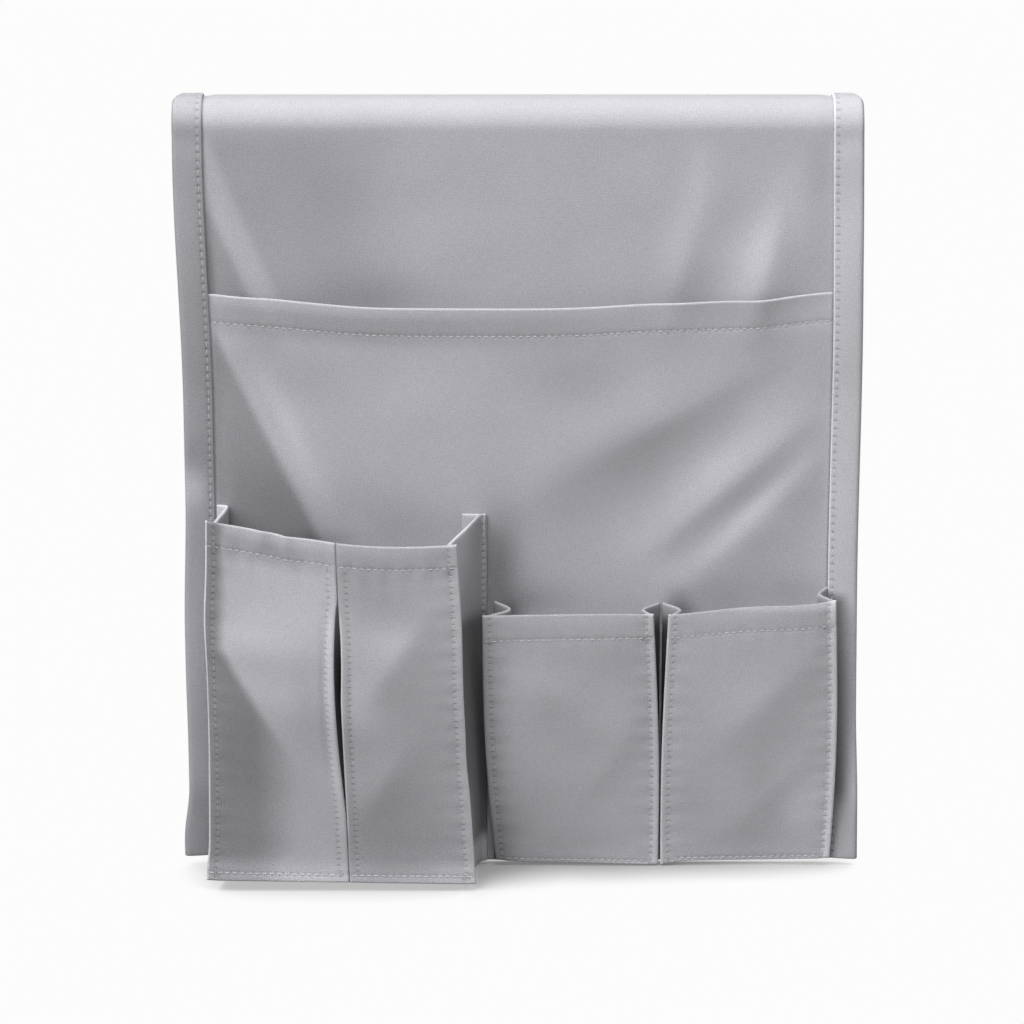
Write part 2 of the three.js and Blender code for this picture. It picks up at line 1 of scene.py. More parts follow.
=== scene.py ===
# %% [markdown]
# # A canvas organizer for the arm of a couch
#
# The real thing is sewn from one kind of cloth: a close, light grey canvas with a thin interlining, so it
# is limp but doesn't crumple. One long strip is folded over the couch's arm. Its front drop carries a wide
# magazine pocket, and on that sit a box pocket for tissues with a slit in its front, and two pleated
# pockets for remote controls.
#
# Everything here is cloth, so one idea carries the whole lesson: a piece of cloth is a flat pattern and a
# function that says where each point of the pattern ends up in space. The pattern's own two distances then
# serve for the weave, for the stitch rows and for the flat size that is printed.

import json
import math

import bpy
import numpy as np
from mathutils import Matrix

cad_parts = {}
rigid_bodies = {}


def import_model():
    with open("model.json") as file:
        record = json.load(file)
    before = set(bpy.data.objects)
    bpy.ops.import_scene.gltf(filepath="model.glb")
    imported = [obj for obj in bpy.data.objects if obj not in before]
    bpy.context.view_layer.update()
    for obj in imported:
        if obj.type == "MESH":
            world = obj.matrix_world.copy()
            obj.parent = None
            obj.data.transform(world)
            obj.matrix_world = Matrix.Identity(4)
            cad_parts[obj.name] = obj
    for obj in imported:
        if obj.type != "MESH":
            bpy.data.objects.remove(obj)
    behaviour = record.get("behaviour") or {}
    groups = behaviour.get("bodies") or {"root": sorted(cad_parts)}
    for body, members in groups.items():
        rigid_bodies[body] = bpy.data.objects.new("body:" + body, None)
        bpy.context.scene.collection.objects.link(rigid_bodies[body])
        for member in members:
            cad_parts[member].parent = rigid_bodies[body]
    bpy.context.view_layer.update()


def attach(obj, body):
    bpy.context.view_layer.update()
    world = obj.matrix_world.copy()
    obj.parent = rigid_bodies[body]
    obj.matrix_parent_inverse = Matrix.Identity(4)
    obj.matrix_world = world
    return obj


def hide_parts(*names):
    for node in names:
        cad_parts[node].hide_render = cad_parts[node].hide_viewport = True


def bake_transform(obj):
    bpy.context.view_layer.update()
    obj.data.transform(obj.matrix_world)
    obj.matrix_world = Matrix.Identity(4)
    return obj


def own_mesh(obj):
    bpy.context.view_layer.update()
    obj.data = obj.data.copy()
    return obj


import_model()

# %% [markdown]
# ## Sizes
#
# The lesson works in millimetres, because cloth is cut in millimetres, and turns them into Blender's
# metres only when a mesh is made. The numbers are those of the solid model, so each piece lies where its
# solid lies. X points right, Y to the back and Z up, and Z is 0 at the top of the couch's arm.

# %% Sizes of the strip and its magazine pocket
MM = 0.001
CLOTH, DOUBLE = 0.8, 1.4  # one layer with its interlining, and two layers, pressed at a hem or a seam
LAYER = 1.1  # from the middle of one layer to the middle of the next
HEM = 12.0  # depth of the turned hem at a pocket's mouth
RIM = 3.8  # from a pinched or folded edge to its stitches
WIDTH, BAND = 300.0, 13.5  # the strip, and each of its side hems
SEWN_X, PANEL_X = WIDTH / 2 - BAND, 147.5  # from the middle to the hems' seams, and to the turned edges
FOLD_RADIUS, FOLD_FLAT = 12.0, 6.0
AXIS_Z = CLOTH / 2 - FOLD_RADIUS
DROP_Y = FOLD_FLAT / 2 + FOLD_RADIUS
HALF_FOLD = FOLD_FLAT / 2 + FOLD_RADIUS * math.pi / 2
JOIN = HALF_FOLD + 8  # from the fold's middle to where the two pieces of the strip meet, behind
FRONT_DROP, ARM_DROP, TUCK_DROP = 330.0, 150.0, 150.0
FRONT_LENGTH, BACK_LENGTH = HALF_FOLD + FRONT_DROP, HALF_FOLD + ARM_DROP + TUCK_DROP
BOTTOM_Z = AXIS_Z - FRONT_DROP
MOUTH_Z, MOUTH_SAG = -85.0, 5.0
BULGE, SLACK = 12.0, 0.12  # how far the magazine pocket bulges, and the share of that left at its foot
SIDES = (("left", -1), ("right", 1))
print("the strip is", round(FRONT_LENGTH + BACK_LENGTH), "mm long")


# %% Small helpers for numbers and arrays
def mix(a, b, t):
    """From a to b by the share t."""
    return a + (b - a) * t


def part_way(v, start, stop):
    """The share of the way from start to stop that v has come: (v - start) / (stop - start)."""
    return (v - start) / (stop - start)


def smooth(t):
    """0 up to t = 0, 1 from t = 1 on, and 3t^2 - 2t^3 between them."""
    t = np.clip(t, 0, 1)
    return t * t * (3 - 2 * t)


def fade(v, start, length):
    """1 up to start and 0 after a further length, the other way round from smooth."""
    return 1 - smooth((v - start) / length)


def bell(v, middle, reach):
    """1 in the middle, dying out on both sides: exp(-((v - middle) / reach)^2)."""
    return np.exp(-(((v - middle) / reach) ** 2))


def along(a, b, start, end):
    """The share of the way from start to end where a straight line is nearest to a point."""
    (a0, b0), (a1, b1) = start, end
    return np.clip(((a - a0) * (a1 - a0) + (b - b0) * (b1 - b0)) / math.hypot(a1 - a0, b1 - b0) ** 2, 0, 1)


def unit(v):
    """Vectors of length 1, with the same directions."""
    return v / np.maximum(np.linalg.norm(v, axis=-1, keepdims=True), 1e-12)


def points(x, y, z):
    """x, y and z arrays as one array of points."""
    return np.stack(np.broadcast_arrays(x, y, z), axis=-1).astype(float)


# %% [markdown]
# ## Cloth from a pattern
#
# A plane with a Solidify modifier would give cloth with a square cut edge. Real pocket edges are folded,
# so they are round and, at a hem, two layers thick. It is easier to build that in: the grid gets a few
# extra lines close to its edges, and both faces run together there on a half circle. A thickness that
# changes over the pattern then makes the hems.
#
# Each vertex also stores how far it is from the nearest stitch row and from the nearest painted shadow line,
# how many stitches along the row it lies, and its tone: painted shade that makes the cloth darker there, or
# painted highlight that makes it paler. A shader reads these later, for the groove, the painted shade in the
# needle holes, the painted shadow lines and the painted shade in deep gaps.


# %% Stitch rows and thickness of a pattern
def spaced(start, stop, step, near=(0.4, 0.4)):
    """Pattern distances about a step apart, with three more close to each end for its rounded edge."""
    inner = np.linspace(start, stop, max(2, round((stop - start) / step)) + 1)[1:-1]
    turn = np.array([0.14, 0.5, 1.0])
    first = start + near[0] * turn
    last = stop - near[1] * turn[::-1]
    inner = inner[(inner > first[-1] + 0.2) & (inner < last[0] - 0.2)]
    return np.concatenate([[start], first, inner, last, [stop]])


def row(*places, pitch=3.05, hole=0.12, thread=0.14):
    """A stitch row: its pattern points, stitch length, painted shade in its needle holes, its thread."""
    return {"places": places, "pitch": pitch, "hole": hole, "thread": thread}


def row_distances(a, b, rows):
    """Distance to the nearest stitch row, stitches passed along it and painted shade in its needle holes."""
    best, passed, hole = np.full(a.shape, 99.0), np.zeros(a.shape), np.zeros(a.shape)
    for line in rows:
        gone = 0.0
        for start, end in zip(line["places"], line["places"][1:]):
            length = math.dist(start, end)
            t = along(a, b, start, end)
            away = np.hypot(a - mix(start[0], end[0], t), b - mix(start[1], end[1], t))
            passed = np.where(away < best, (gone + t * length) / line["pitch"], passed)
            hole = np.where(away < best, line["hole"], hole)
            best = np.minimum(best, away)
            gone += length
    return best, passed, hole


def folded(away, depth, thick=DOUBLE, step=1.4):
    """Thickness at a turned edge: thick up to a depth away from it, one layer from a step further on."""
    return mix(thick, CLOTH, smooth((away - depth) / step))


# %% A sheet of cloth
sewn = {}  # the stitch rows that each thread object will hold, with the shape and side of their cloth


def new_object(name, data):
    """An object at the origin, put into the scene, for a mesh, a lamp or a camera."""
    made = bpy.data.objects.new(name, data)
    bpy.context.scene.collection.objects.link(made)
    return made


def new_piece(name, vertices, faces):
    """A mesh object with smooth faces, from points in millimetres."""
    mesh = bpy.data.meshes.new(name)
    mesh.from_pydata((vertices * MM).tolist(), [], faces)
    mesh.polygons.foreach_set("use_smooth", np.ones(len(faces), bool))
    print(name, "has", len(faces), "faces")
    return new_object(name, mesh)


def cloth(name, shape, across, down, thickness=CLOTH, rows=(), outward=1, shadow_lines=(), painted_shade=None, thread=""):
    """A closed sheet of cloth.

    shape(a, b) gives the points of the pattern's distances a, across, and b, down. Both faces lie off it
    along its normal, the front one by half a layer and the back one by the rest of the thickness. Near
    the edges their distance shrinks with sqrt(1 - (1 - d/r)^2), a half circle of radius r.
    """
    a, b = np.meshgrid(across, down)
    surface = shape(a, b)
    normal = outward * unit(np.cross(np.gradient(surface, axis=0), np.gradient(surface, axis=1)))
    thick = np.broadcast_to(thickness(a, b) if callable(thickness) else thickness, a.shape)
    nearest = np.minimum.reduce([a - across[0], across[-1] - a, b - down[0], down[-1] - b])
    rim = np.sqrt(1 - (1 - np.clip(nearest / (thick / 2), 0, 1)) ** 2)
    middle = surface + normal * ((CLOTH - thick) / 2)[..., None]
    half = normal * (thick / 2 * rim)[..., None]
    front_id = np.arange(a.size).reshape(a.shape)
    inside = np.zeros(a.shape, bool)
    inside[1:-1, 1:-1] = True
    back_id = front_id.copy()
    back_id[inside] = a.size + np.arange(inside.sum())

    def quads(ids, backwards):
        corners = [ids[:-1, :-1], ids[1:, :-1], ids[1:, 1:], ids[:-1, 1:]]
        return np.stack(corners[::-1] if backwards else corners, axis=-1).reshape(-1, 4)

    vertices = np.concatenate([(middle + half).reshape(-1, 3), (middle - half)[inside]])
    faces = np.concatenate([quads(front_id, outward < 0), quads(back_id, outward > 0)])
    piece = new_piece(name, vertices, faces.tolist())
    a, b = (np.concatenate([v.ravel(), v[inside]]) for v in (a, b))
    uv = piece.data.uv_layers.new(name="cloth")
    uv.data.foreach_set("uv", (np.stack([a, b], axis=-1)[faces.ravel()] * MM).ravel())
    # Painted shadow lines, and the painted shade and painted highlights of the tone.
    shade = (row_distances(a, b, shadow_lines)[0], painted_shade(a, b) if painted_shade else 0 * a, 0)
    for word, parts in {"seam": row_distances(a, b, rows), "shade": shade}.items():
        attribute = piece.data.attributes.new(word, "FLOAT_VECTOR", "POINT")
        attribute.data.foreach_set("vector", points(*parts).ravel())
    piece.data.update()
    if rows:
        sewn.setdefault(thread, []).extend((shape, line, outward) for line in rows)
    return piece


# %% [markdown]
# ## Stitches
#
# A lockstitch row is a line of short threads that come up through one needle hole and go down through the
# next. There are more than a thousand of them, so each is a small tube of only 32 faces, and all the
# stitches of an object are made at once.


# %% Stitches along pattern lines
def row_points(places, pitch):
    """Middles and directions of the stitches along a row, in pattern distances."""
    path = np.asarray(places, float)
    lengths = np.linalg.norm(np.diff(path, axis=0), axis=1)
    reached = np.concatenate([[0], np.cumsum(lengths)])
    middles = (np.arange(max(1, int(lengths.sum() // pitch))) + 0.5) * pitch

    def at(distances):
        return np.stack([np.interp(distances, reached, path[:, k]) for k in (0, 1)], axis=-1)

    return at(middles), unit(at(middles + 0.3) - at(middles - 0.3))


def stitches(name, lines):
    """Threads for lines, each a shape, a row and the side of the cloth to show on.

    The middle line of a thread rises by a sine over its length, and its radius shrinks to the ends.
    """
    parts = []
    for shape, line, outward in lines:
        middle, ahead = row_points(line["places"], line["pitch"])
        side = np.stack([-ahead[:, 1], ahead[:, 0]], axis=-1)
        half = ahead * 0.3 * line["pitch"] + side * 0.08
        a, b = middle.T
        step_a, step_b = (shape(a + k, b + m) - shape(a - k, b - m) for k, m in ((0.3, 0), (0, 0.3)))
        up = outward * unit(np.cross(step_b, step_a))
        start, end = (shape(*(middle + sign * half).T) + up * CLOTH / 2 for sign in (-1, 1))
        parts.append((start, end, up, np.full(len(middle), line["thread"])))
    start, end, up, radius = (np.concatenate(part) for part in zip(*parts))
    t = np.linspace(0, 1, 6)
    turn = np.linspace(0, 2 * math.pi, 6, endpoint=False)
    side = unit(np.cross(end - start, up))
    arch = np.sin(math.pi * t)
    rise = up[:, None] * (0.12 * arch - 0.02)[None, :, None]
    line = mix(start[:, None], end[:, None], t[None, :, None]) + rise
    thick = (radius[:, None] * (0.25 + 0.75 * arch**0.5))[:, :, None, None]
    around = side[:, None, None] * np.cos(turn)[None, None, :, None]
    around = around + up[:, None, None] * np.sin(turn)[None, None, :, None]
    vertices = line[:, :, None] + around * thick
    ids = np.arange(vertices[..., 0].size).reshape(vertices.shape[:3])
    after = np.roll(ids, -1, axis=2)
    sides = np.stack([ids[:, :-1], ids[:, 1:], after[:, 1:], after[:, :-1]], axis=-1).reshape(-1, 4)
    caps = np.concatenate([ids[:, 0], ids[:, -1, ::-1]])
    print(name, "stitches", len(start))
    return new_piece(name, vertices.reshape(-1, 3), sides.tolist() + caps.tolist())


# %% [markdown]
# ## Folds
#
# Hanging cloth shows where it is pulled. Soft folds run from the corners of the pockets, and they die out
# where the cloth is sewn down. Each is a bell across a line, with its own width on either side, so that
# one flank can be steep and the other long. Its height rises and falls along the line. Cloth simulation
# could make such folds too, but not these folds in these places.
#
# Deep gaps get less light than a few lamps can show, and the flanks of folds need more shade than the lamps
# give. So every piece may have painted shade and painted highlights, made of the same lines and of soft
# spots, that scale its colour.


# %% Folds and unevenness of hanging cloth
def to_left(x, z, start, end):
    """How far a point lies to the left of a line that runs down from start to end."""
    (x0, z0), (x1, z1) = start, end
    return ((x - x0) * (z1 - z0) - (z - z0) * (x1 - x0)) / math.hypot(x1 - x0, z1 - z0)


def folds(x, z, lines):
    """Sum of bells h exp(-|d/w|^1.6) sin^2(pi t^p), d across a line and t along it.

    A line is: start, end, widths on its left at both ends, the same on its right, height h, p.
    """
    height = np.zeros(np.broadcast(x, z).shape)
    for start, end, left, right, rise, peak in lines:
        t, side = along(x, z, start, end), to_left(x, z, start, end)
        width = np.where(side < 0, mix(*right, t), mix(*left, t))
        height = height + rise * np.exp(-(np.abs(side / width) ** 1.6)) * np.sin(math.pi * t**peak) ** 2
    return height


def fold_shade(x, z, line, soft, size):
    """Painted shade where the cloth passes a fold's line to its left: from 0 to a size, over a soft width."""
    return size * smooth(to_left(x, z, *line[:2]) / soft + 0.5)


def lip_shade(b, depth, size):
    """Painted shade on a pocket's rolled lip, rising from the mouth's edge to its stitches, then gone."""
    return size * smooth((b - 1) / 6) * fade(b, depth, 9)


def spots(x, z, places):
    """Sum of soft ellipses k exp(-((x-cx)/rx)^2 - ((z-cz)/rz)^2), each given as cx, cz, rx, rz, k."""
    return sum(k * np.exp(-(((x - cx) / rx) ** 2) - ((z - cz) / rz) ** 2) for cx, cz, rx, rz, k in places)


def uneven(x, z, seed, size, reach):
    """A sum of six sine waves in seeded directions, lengths from 0.7 to 1.6 times the reach."""
    rng = np.random.default_rng(seed)
    height = np.zeros(np.broadcast(x, z).shape)
    for _ in range(6):
        angle, wave, shift = rng.uniform(0, math.pi), rng.uniform(0.7, 1.6) * reach, rng.uniform(0, 6.28)
        height = height + np.sin((x * math.cos(angle) + z * math.sin(angle)) * 2 * math.pi / wave + shift)
    return height * size / 6


def pucker(away, length, size, wave=9.0):
    """Ripples that a tight seam draws into the cloth: sin along it, dying out with exp(-away/6)."""
    return size * np.sin(2 * math.pi * length / wave + 0.8 * np.sin(length / 11)) * np.exp(-np.abs(away) / 6)


def freedom(x, reach=9.0):
    """Share of its folds that the cloth keeps near its sewn sides."""
    return smooth((SEWN_X - np.abs(x)) / reach)


# %% How the whole strip hangs
def curl(x, z):
    """How far the strip's edges come forward outside the seams: 2.6 (1 - (1 - t)^2)."""
    t = np.clip((np.abs(x) - SEWN_X) / BAND, 0, 1)
    return 2.6 * (1 - (1 - t) ** 2) * smooth((AXIS_Z - z) / 50)


def lean(x, z):
    """The strip hangs a little askew and is drawn in where the pockets pull at its edges."""
    left = 2.7 * smooth((-z - 20) / 115) - 1.5 * smooth((-z - 175) / 60)
    left = left + 0.4 * smooth((-z - 250) / 40) - 2.5 * smooth((-z - 308) / 26)
    right = 0.9 * smooth((-z - 270) / 45) - 1.7 * smooth((-z - 90) / 130)
    drawn = mix(left, right, np.clip((x + WIDTH / 2) / WIDTH, 0, 1))
    return x * 1.003 + mix(1.4, -1.0, np.clip(part_way(z, BOTTOM_Z, 0), 0, 1)) + drawn


def raised(x, z):
    """z with the foot out of level: its corners hang short, by 2.3 on the left and 0.9 on the right."""
    return z + (2.3 * fade(x, -115, 30) + 0.9 * smooth((x - 60) / 85)) * smooth((-z - 285) / 55)


# %% [markdown]
# ## The strip
#
# The strip could be drawn as a curve and given a width, but its folds change over both directions, so it
# is a function again. Distance b runs along the strip and is 0 in the middle of the fold, positive down
# the front. It is made in two pieces, a front piece and a back piece, which meet behind the fold.


# %% The strip's path over the arm
def strip_path(b):
    """y, z and the outward normal at a distance along the strip: flat, quarter circles, straight drops."""
    side = np.where(b < 0, -1.0, 1.0)
    beyond = np.maximum(0, np.abs(b) - FOLD_FLAT / 2)
    turn = np.minimum(beyond / FOLD_RADIUS, math.pi / 2)
    drop = np.maximum(0, beyond - FOLD_RADIUS * math.pi / 2)
    y = -side * (np.minimum(np.abs(b), FOLD_FLAT / 2) + FOLD_RADIUS * np.sin(turn))
    z = AXIS_Z + FOLD_RADIUS * np.cos(turn) - drop
    return y, z, -side * np.sin(turn), np.cos(turn)


PANEL_FOLDS = [
    ((-148, -12), (-107, -114), (9, 24), (4.5, 6.5), 2.6, 1.4),
    ((88, -12), (60, -112), (8, 9), (10, 12), 2.2, 1.2),
    ((122, -12), (98, -114), (7, 9), (11, 13), 3.8, 1.3),
]
ARM_FOLDS = [
    ((-70, -10), (-50, -160), (22, 26), (22, 26), 1.6, 1),
    ((75, -5), (60, -158), (26, 30), (26, 30), 1.8, 1),
]


def front_lift(x, z):
    """How far the front drop stands off its plane: its folds, and unevenness from the fold down."""
    loose = freedom(x) * smooth(-z / 60)
    return freedom(x) * folds(x, z, PANEL_FOLDS) + loose * uneven(x, z, 3, 0.5, 55)


def arm_lift(x, z):
    """How far the back piece stands off its plane: its two wide folds."""
    return freedom(x) * folds(x, z, ARM_FOLDS)


def pressed(x, b):
    """How far the side hems, sewn tight, press the strip down on the fold."""
    return 0.75 * smooth((np.abs(x) - SEWN_X + 5) / 5) * smooth(3 - np.abs(b) / 12)


def strip(a, b):
    """A point of the strip: a across it, b along it."""
    y, z, ny, nz = strip_path(b)
    lift = np.where(b > 0, front_lift(a, z) + curl(a, z), arm_lift(a, z))
    lift = lift * smooth((np.abs(b) - HALF_FOLD * 0.7) / 20) - pressed(a, b)
    return points(lean(a, z), y + ny * lift, np.where(b > 0, raised(a, z), z) + nz * lift)


# %% The front piece
# Painted spots: a positive k is painted shade, a negative one painted highlight.
PANEL_PAINTED_SPOTS = [
    *((-59, -84, 22, 9, 0.16), (104, -74, 14, 16, -0.16), (92, -83, 12, 5, -0.1)),
    *((131, -28, 7, 16, 0.08), (121, -44, 5, 14, -0.07), (78, -31, 5, 18, -0.07)),
]


def panel_painted_shade(x, b):
    """Painted shade on the left of the drop, right of a slanting line that starts at (-120, -59), and left
    of the long fold, with painted spots. The fold over the arm has no painted shade."""
    z = strip_path(b)[1]
    beyond = smooth((x + 120.3 - (-z - 58.6) * 0.404) / 6)
    dark = 0.18 * beyond * fade(x, -84, 44) + fold_shade(x, z, PANEL_FOLDS[0], 5, 0.3) + spots(x, z, PANEL_PAINTED_SPOTS)
    return dark * (b > 0) * smooth((-z - 4) / 16) * freedom(x, 2)


def down_front(count, end, near):
    """Distances along the front pieces: a count of them over the fold, then 2.6 apart down to the end."""
    drop = spaced(HALF_FOLD, end, 2.6, (0.4, near))
    return np.concatenate([np.linspace(-JOIN, HALF_FOLD, count), drop[4:]])


def end_hem(from_end):
    """Thickness near a turned end of the strip: two layers over the last 14 mm."""
    return folded(from_end, 14, step=1.5)


cloth(
    "strip_front",
    strip,
    spaced(-PANEL_X, PANEL_X, 2.6),
    down_front(40, FRONT_LENGTH - 0.4, 0.95),
    thickness=lambda a, b: end_hem(FRONT_LENGTH - b),
    # Painted shadow lines along the inner edges of both side hems.
    shadow_lines=[row((side * SEWN_X, -JOIN), (side * SEWN_X, FRONT_LENGTH)) for _, side in SIDES],
    painted_shade=panel_painted_shade,
)

# %% [markdown]
# ## Arm cover and tuck flap
#
# The back piece lies over the arm and hangs down behind it, or is tucked under the seat cushion. The same
# function makes it, at negative distances. Its stitch rows are those of the end's hem and of two grip
# strips, which are sewn to its underside.


# %% The back piece
def down_back(start, near):
    """Distances along the back pieces, 3.4 apart, from the end of the strip up to the join."""
    return np.append(spaced(start, -JOIN, 3.4, (near, 0.4))[:-4], -JOIN)


GRIP_DEPTHS, GRIP_WIDTH, GRIP_LENGTH = (40.0, 100.0), 14.0, 240.0
END_ROW = -BACK_LENGTH + 12
tuck_rows = [row((-PANEL_X + 12, END_ROW), (PANEL_X - 12, END_ROW), pitch=3)]
for depth in GRIP_DEPTHS:
    for edge in (2.0, GRIP_WIDTH - 2.0):
        b = -HALF_FOLD - depth - edge
        tuck_rows.append(row((-GRIP_LENGTH / 2 + 2, b), (GRIP_LENGTH / 2 - 2, b), pitch=3))
cloth(
    "strip_back",
    strip,
    spaced(-PANEL_X, PANEL_X, 3.4),
    down_back(-BACK_LENGTH + 0.4, 0.95),
    thickness=lambda a, b: end_hem(BACK_LENGTH + b),
    rows=tuck_rows,
    thread="thread_back",
)

# %% [markdown]
# ## Side hems
#
# The strip's long edges are turned to the front and topstitched, which also closes the sides of the
# magazine pocket. Seen in section, a band starts at its stitched inner edge, runs outwards over the layers
# below, turns round the edge and comes back under itself. That profile is carried along the strip's path.


# %% The shape of a side hem
BAND_CLOTH = 1.5  # the band is the strip's cloth with its raw edge turned under
BAND_PATTERN = BAND + 4.4  # its width with the part that comes back under it


def magazine_layers(z):
    """Layers under the magazine pocket's cloth: two behind its hem, then one."""
    return 2 - smooth((MOUTH_Z - HEM - z) / (3 * HEM))


def band_layers(b):
    """Layers between the strip and a side hem: one, and the magazine pocket's below its mouth."""
    z = strip_path(b)[1]
    covered = smooth((MOUTH_Z + 50 - z) / 50) * (b > 0)
    return 1 + covered * magazine_layers(z)


def band(side):
    """Shape of a side hem: a runs from the inner edge outwards and round the edge, b along the strip."""

    def shape(a, b):
        radius = (LAYER * band_layers(b) + 0.35) / 2
        turn_at = BAND - CLOTH / 2 - radius
        angle = np.clip((a - turn_at) / radius, 0, math.pi)
        past = np.maximum(0, a - turn_at - radius * math.pi)
        # inwards from the outer edge, and outwards off the strip
        inward = BAND - np.minimum(a, turn_at) - radius * np.sin(angle) + past
        lift = radius + radius * np.cos(angle)
        wave = 0.25 * np.sin(b / 17 + side) * smooth((HALF_FOLD + 10 - b) / -40) * np.exp(-a / 9)
        y, z, ny, nz = strip_path(b)
        lift = lift + wave + curl(WIDTH / 2 - inward, z) * (b > 0) - pressed(SEWN_X, b)
        corner = 3.5 * bell(b, -5, 7.5) * smooth((a - 5) / 10) + 0.35 * smooth((a - 6) / 8)
        x = side * (WIDTH / 2 - inward - corner)
        return points(lean(x, z), y + ny * lift, np.where(b > 0, raised(x, z), z) + nz * lift)

    return shape


# %% The side hems and their painted shade
# Painted spots on the left hem: a positive k is painted shade, a negative one painted highlight.
BAND_PAINTED_SPOTS = [(9, 158, 6, 9, -0.45), (9, 236, 6, 26, -0.1), (9, 144, 6, 8, 0.15), (9, 303, 6, 8, 0.15)]
BAND_LOOK = {"pitch": 3.6, "hole": 0.4, "thread": 0.15}
BAND_STITCH = 2.0  # from a band's inner edge to its stitches


def left_hem_painted_shade(a, b):
    """Painted highlight on the fold and where the tissue pocket pulls, painted shade around it and at the
    foot.
    """
    down = b - HALF_FOLD
    return spots(a, down, BAND_PAINTED_SPOTS) - 0.2 * fade(np.abs(b), 12, 10) + 0.18 * smooth((down - 290) / 40)


def right_hem_painted_shade(a, b):
    """Painted shadow of the right-hand pocket and at the foot, a painted highlight on the inner edge
    elsewhere.
    """
    down = b - HALF_FOLD + FOLD_RADIUS
    shade = smooth((down - 217) / 5) * fade(down, 306, 18)
    edge = -0.5 * fade(a, 0.5, 0.5) * (1 - shade)
    return shade * (0.62 - 0.7 * smooth((a - 3.5) / 9)) + 0.18 * smooth((down - 306) / 20) + edge


for (word, side), painted_shade in zip(SIDES, (left_hem_painted_shade, right_hem_painted_shade)):
    for end, down, start, stop, shade in (
        ("front", down_front(36, FRONT_LENGTH, 0.75), -JOIN, FRONT_LENGTH - 2, painted_shade),
        ("back", down_back(-BACK_LENGTH, 0.75), -BACK_LENGTH + 2, -JOIN, None),
    ):
        cloth(
            f"hem_{word}_{end}",
            band(side),
            spaced(0, BAND_PATTERN, 1.1, (0.75, 0.4)),
            down,
            BAND_CLOTH,
            [row((BAND_STITCH, start), (BAND_STITCH, stop), **BAND_LOOK)],
            outward=side,
            painted_shade=shade,
            thread=f"thread_{end}",
        )

# %% [markdown]
# ## Magazine pocket
#
# The wide pocket is sewn down at its sides and foot and stands open at the mouth, so its cloth bulges
# forward. The bulge is largest at the mouth and almost gone at the foot. Pulled by the sewn corners of
# its mouth, the cloth shows long slanting folds: they are what makes it read as cloth.

# %% Folds and painted shade of the magazine pocket
MAGAZINE_FOLDS = [
    ((-141, -88), (-77, -220), (9, 40), (4.5, 8), 4.2, 0.8),
    ((140, -95), (-34, -193), (18, 26), (14, 21), 3.3, 1.0),
    ((142, -125), (38, -214), (12, 18), (8, 10), 2.6, 1.0),
    ((143, -146), (64, -224), (6, 8), (10, 14), 1.6, 0.9),
]
# Positive sizes are painted shade, such as the tissue pocket's shadow; negative ones painted highlights.
MAGAZINE_PAINTED_SPOTS = [
    *((58, -198, 26, 18, -0.06), (-60, -190, 28, 14, 0.1), (-40, -122, 34, 15, -0.18)),
    *((-88, -194, 14, 5, 0.25), (-10, -204, 10, 26, 0.46), (-3, -223, 9, 7, 0.2)),
    *((12, -221, 14, 8, 0.15), (70, -221, 6, 6, 0.3), (90, -219, 12, 8, 0.12), (120, -216, 14, 8, 0.12)),
    *((-78, -262, 8, 44, 0.7), (-74, -190, 10, 9, -0.1), (-124, -94, 17, 9, -0.16)),
    *((-5, -226, 4, 3, 0.3), (72, -225, 7, 3, 0.35), (95, -89, 14, 6, 0.08), (66, -93, 9, 5, -0.08)),
    *((108, -183, 12, 8, -0.08), (66, -208, 10, 8, -0.12), (22, -118, 22, 14, 0.08)),
]
# Slanting streaks of painted highlight (negative size) and painted shade (positive size).
MAGAZINE_PAINTED_STREAKS = [
    (start, end, widths, widths, size, 1.0)
    for start, end, widths, size in (
        ((146, -104), (24, -220), (10, 13), -0.16),
        ((143, -139), (60, -221), (6, 8), -0.14),
        ((104, -120), (-14, -178), (9, 9), 0.17),
        ((138, -146), (76, -190), (5, 5), 0.13),
        ((142, -98), (84, -148), (8, 9), -0.12),
        ((126, -174), (58, -216), (7, 8), -0.12),
        ((122, -146), (64, -202), (5, 5), -0.13),
        ((-126, -92), (-74, -204), (5, 6), -0.14),
        ((-142, -84), (-94, -168), (4, 4), 0.12),
    )
]
MOUTH_WAVES = [(-70, 0, 30, 1, 1.2), (55, 0, 22, 1, -0.7), (106, 0, 16, 1, 0.7)]


def openness(x):
    """0 at the sewn sides, 1 in the middle: (1 - (x/s)^2)^1.2."""
    return np.clip(1 - (x / SEWN_X) ** 2, 0, 1) ** 1.2


def magazine_top(x):
    """z of the mouth: it sags between its sewn corners, a little unevenly."""
    sag = (MOUTH_SAG - 0.4) * openness(x)
    return MOUTH_Z + 1.9 + 0.4 * x / SEWN_X - sag - spots(x, 0, MOUTH_WAVES)


def magazine_painted_shade(x, z):
    """Painted shade between the long fold and the left hem, beside the small pockets and on the rolled lip
    of the mouth, and painted highlights and shade on slanting streaks."""
    dark = fold_shade(x, z, MAGAZINE_FOLDS[0], 5, 0.38) + spots(x, z, MAGAZINE_PAINTED_SPOTS) + folds(x, z, MAGAZINE_PAINTED_STREAKS)
    rolled = lip_shade(magazine_top(x) - z, HEM, np.clip(0.27 - 0.29 * (x + 60) / 165, -0.05, 0.27))
    return (dark + rolled) * freedom(x, 2)


# %% Magazine pocket
MAGAZINE_X, MAGAZINE_LENGTH = 146.2, MOUTH_Z - BOTTOM_Z  # half its width, with margins under the side hems


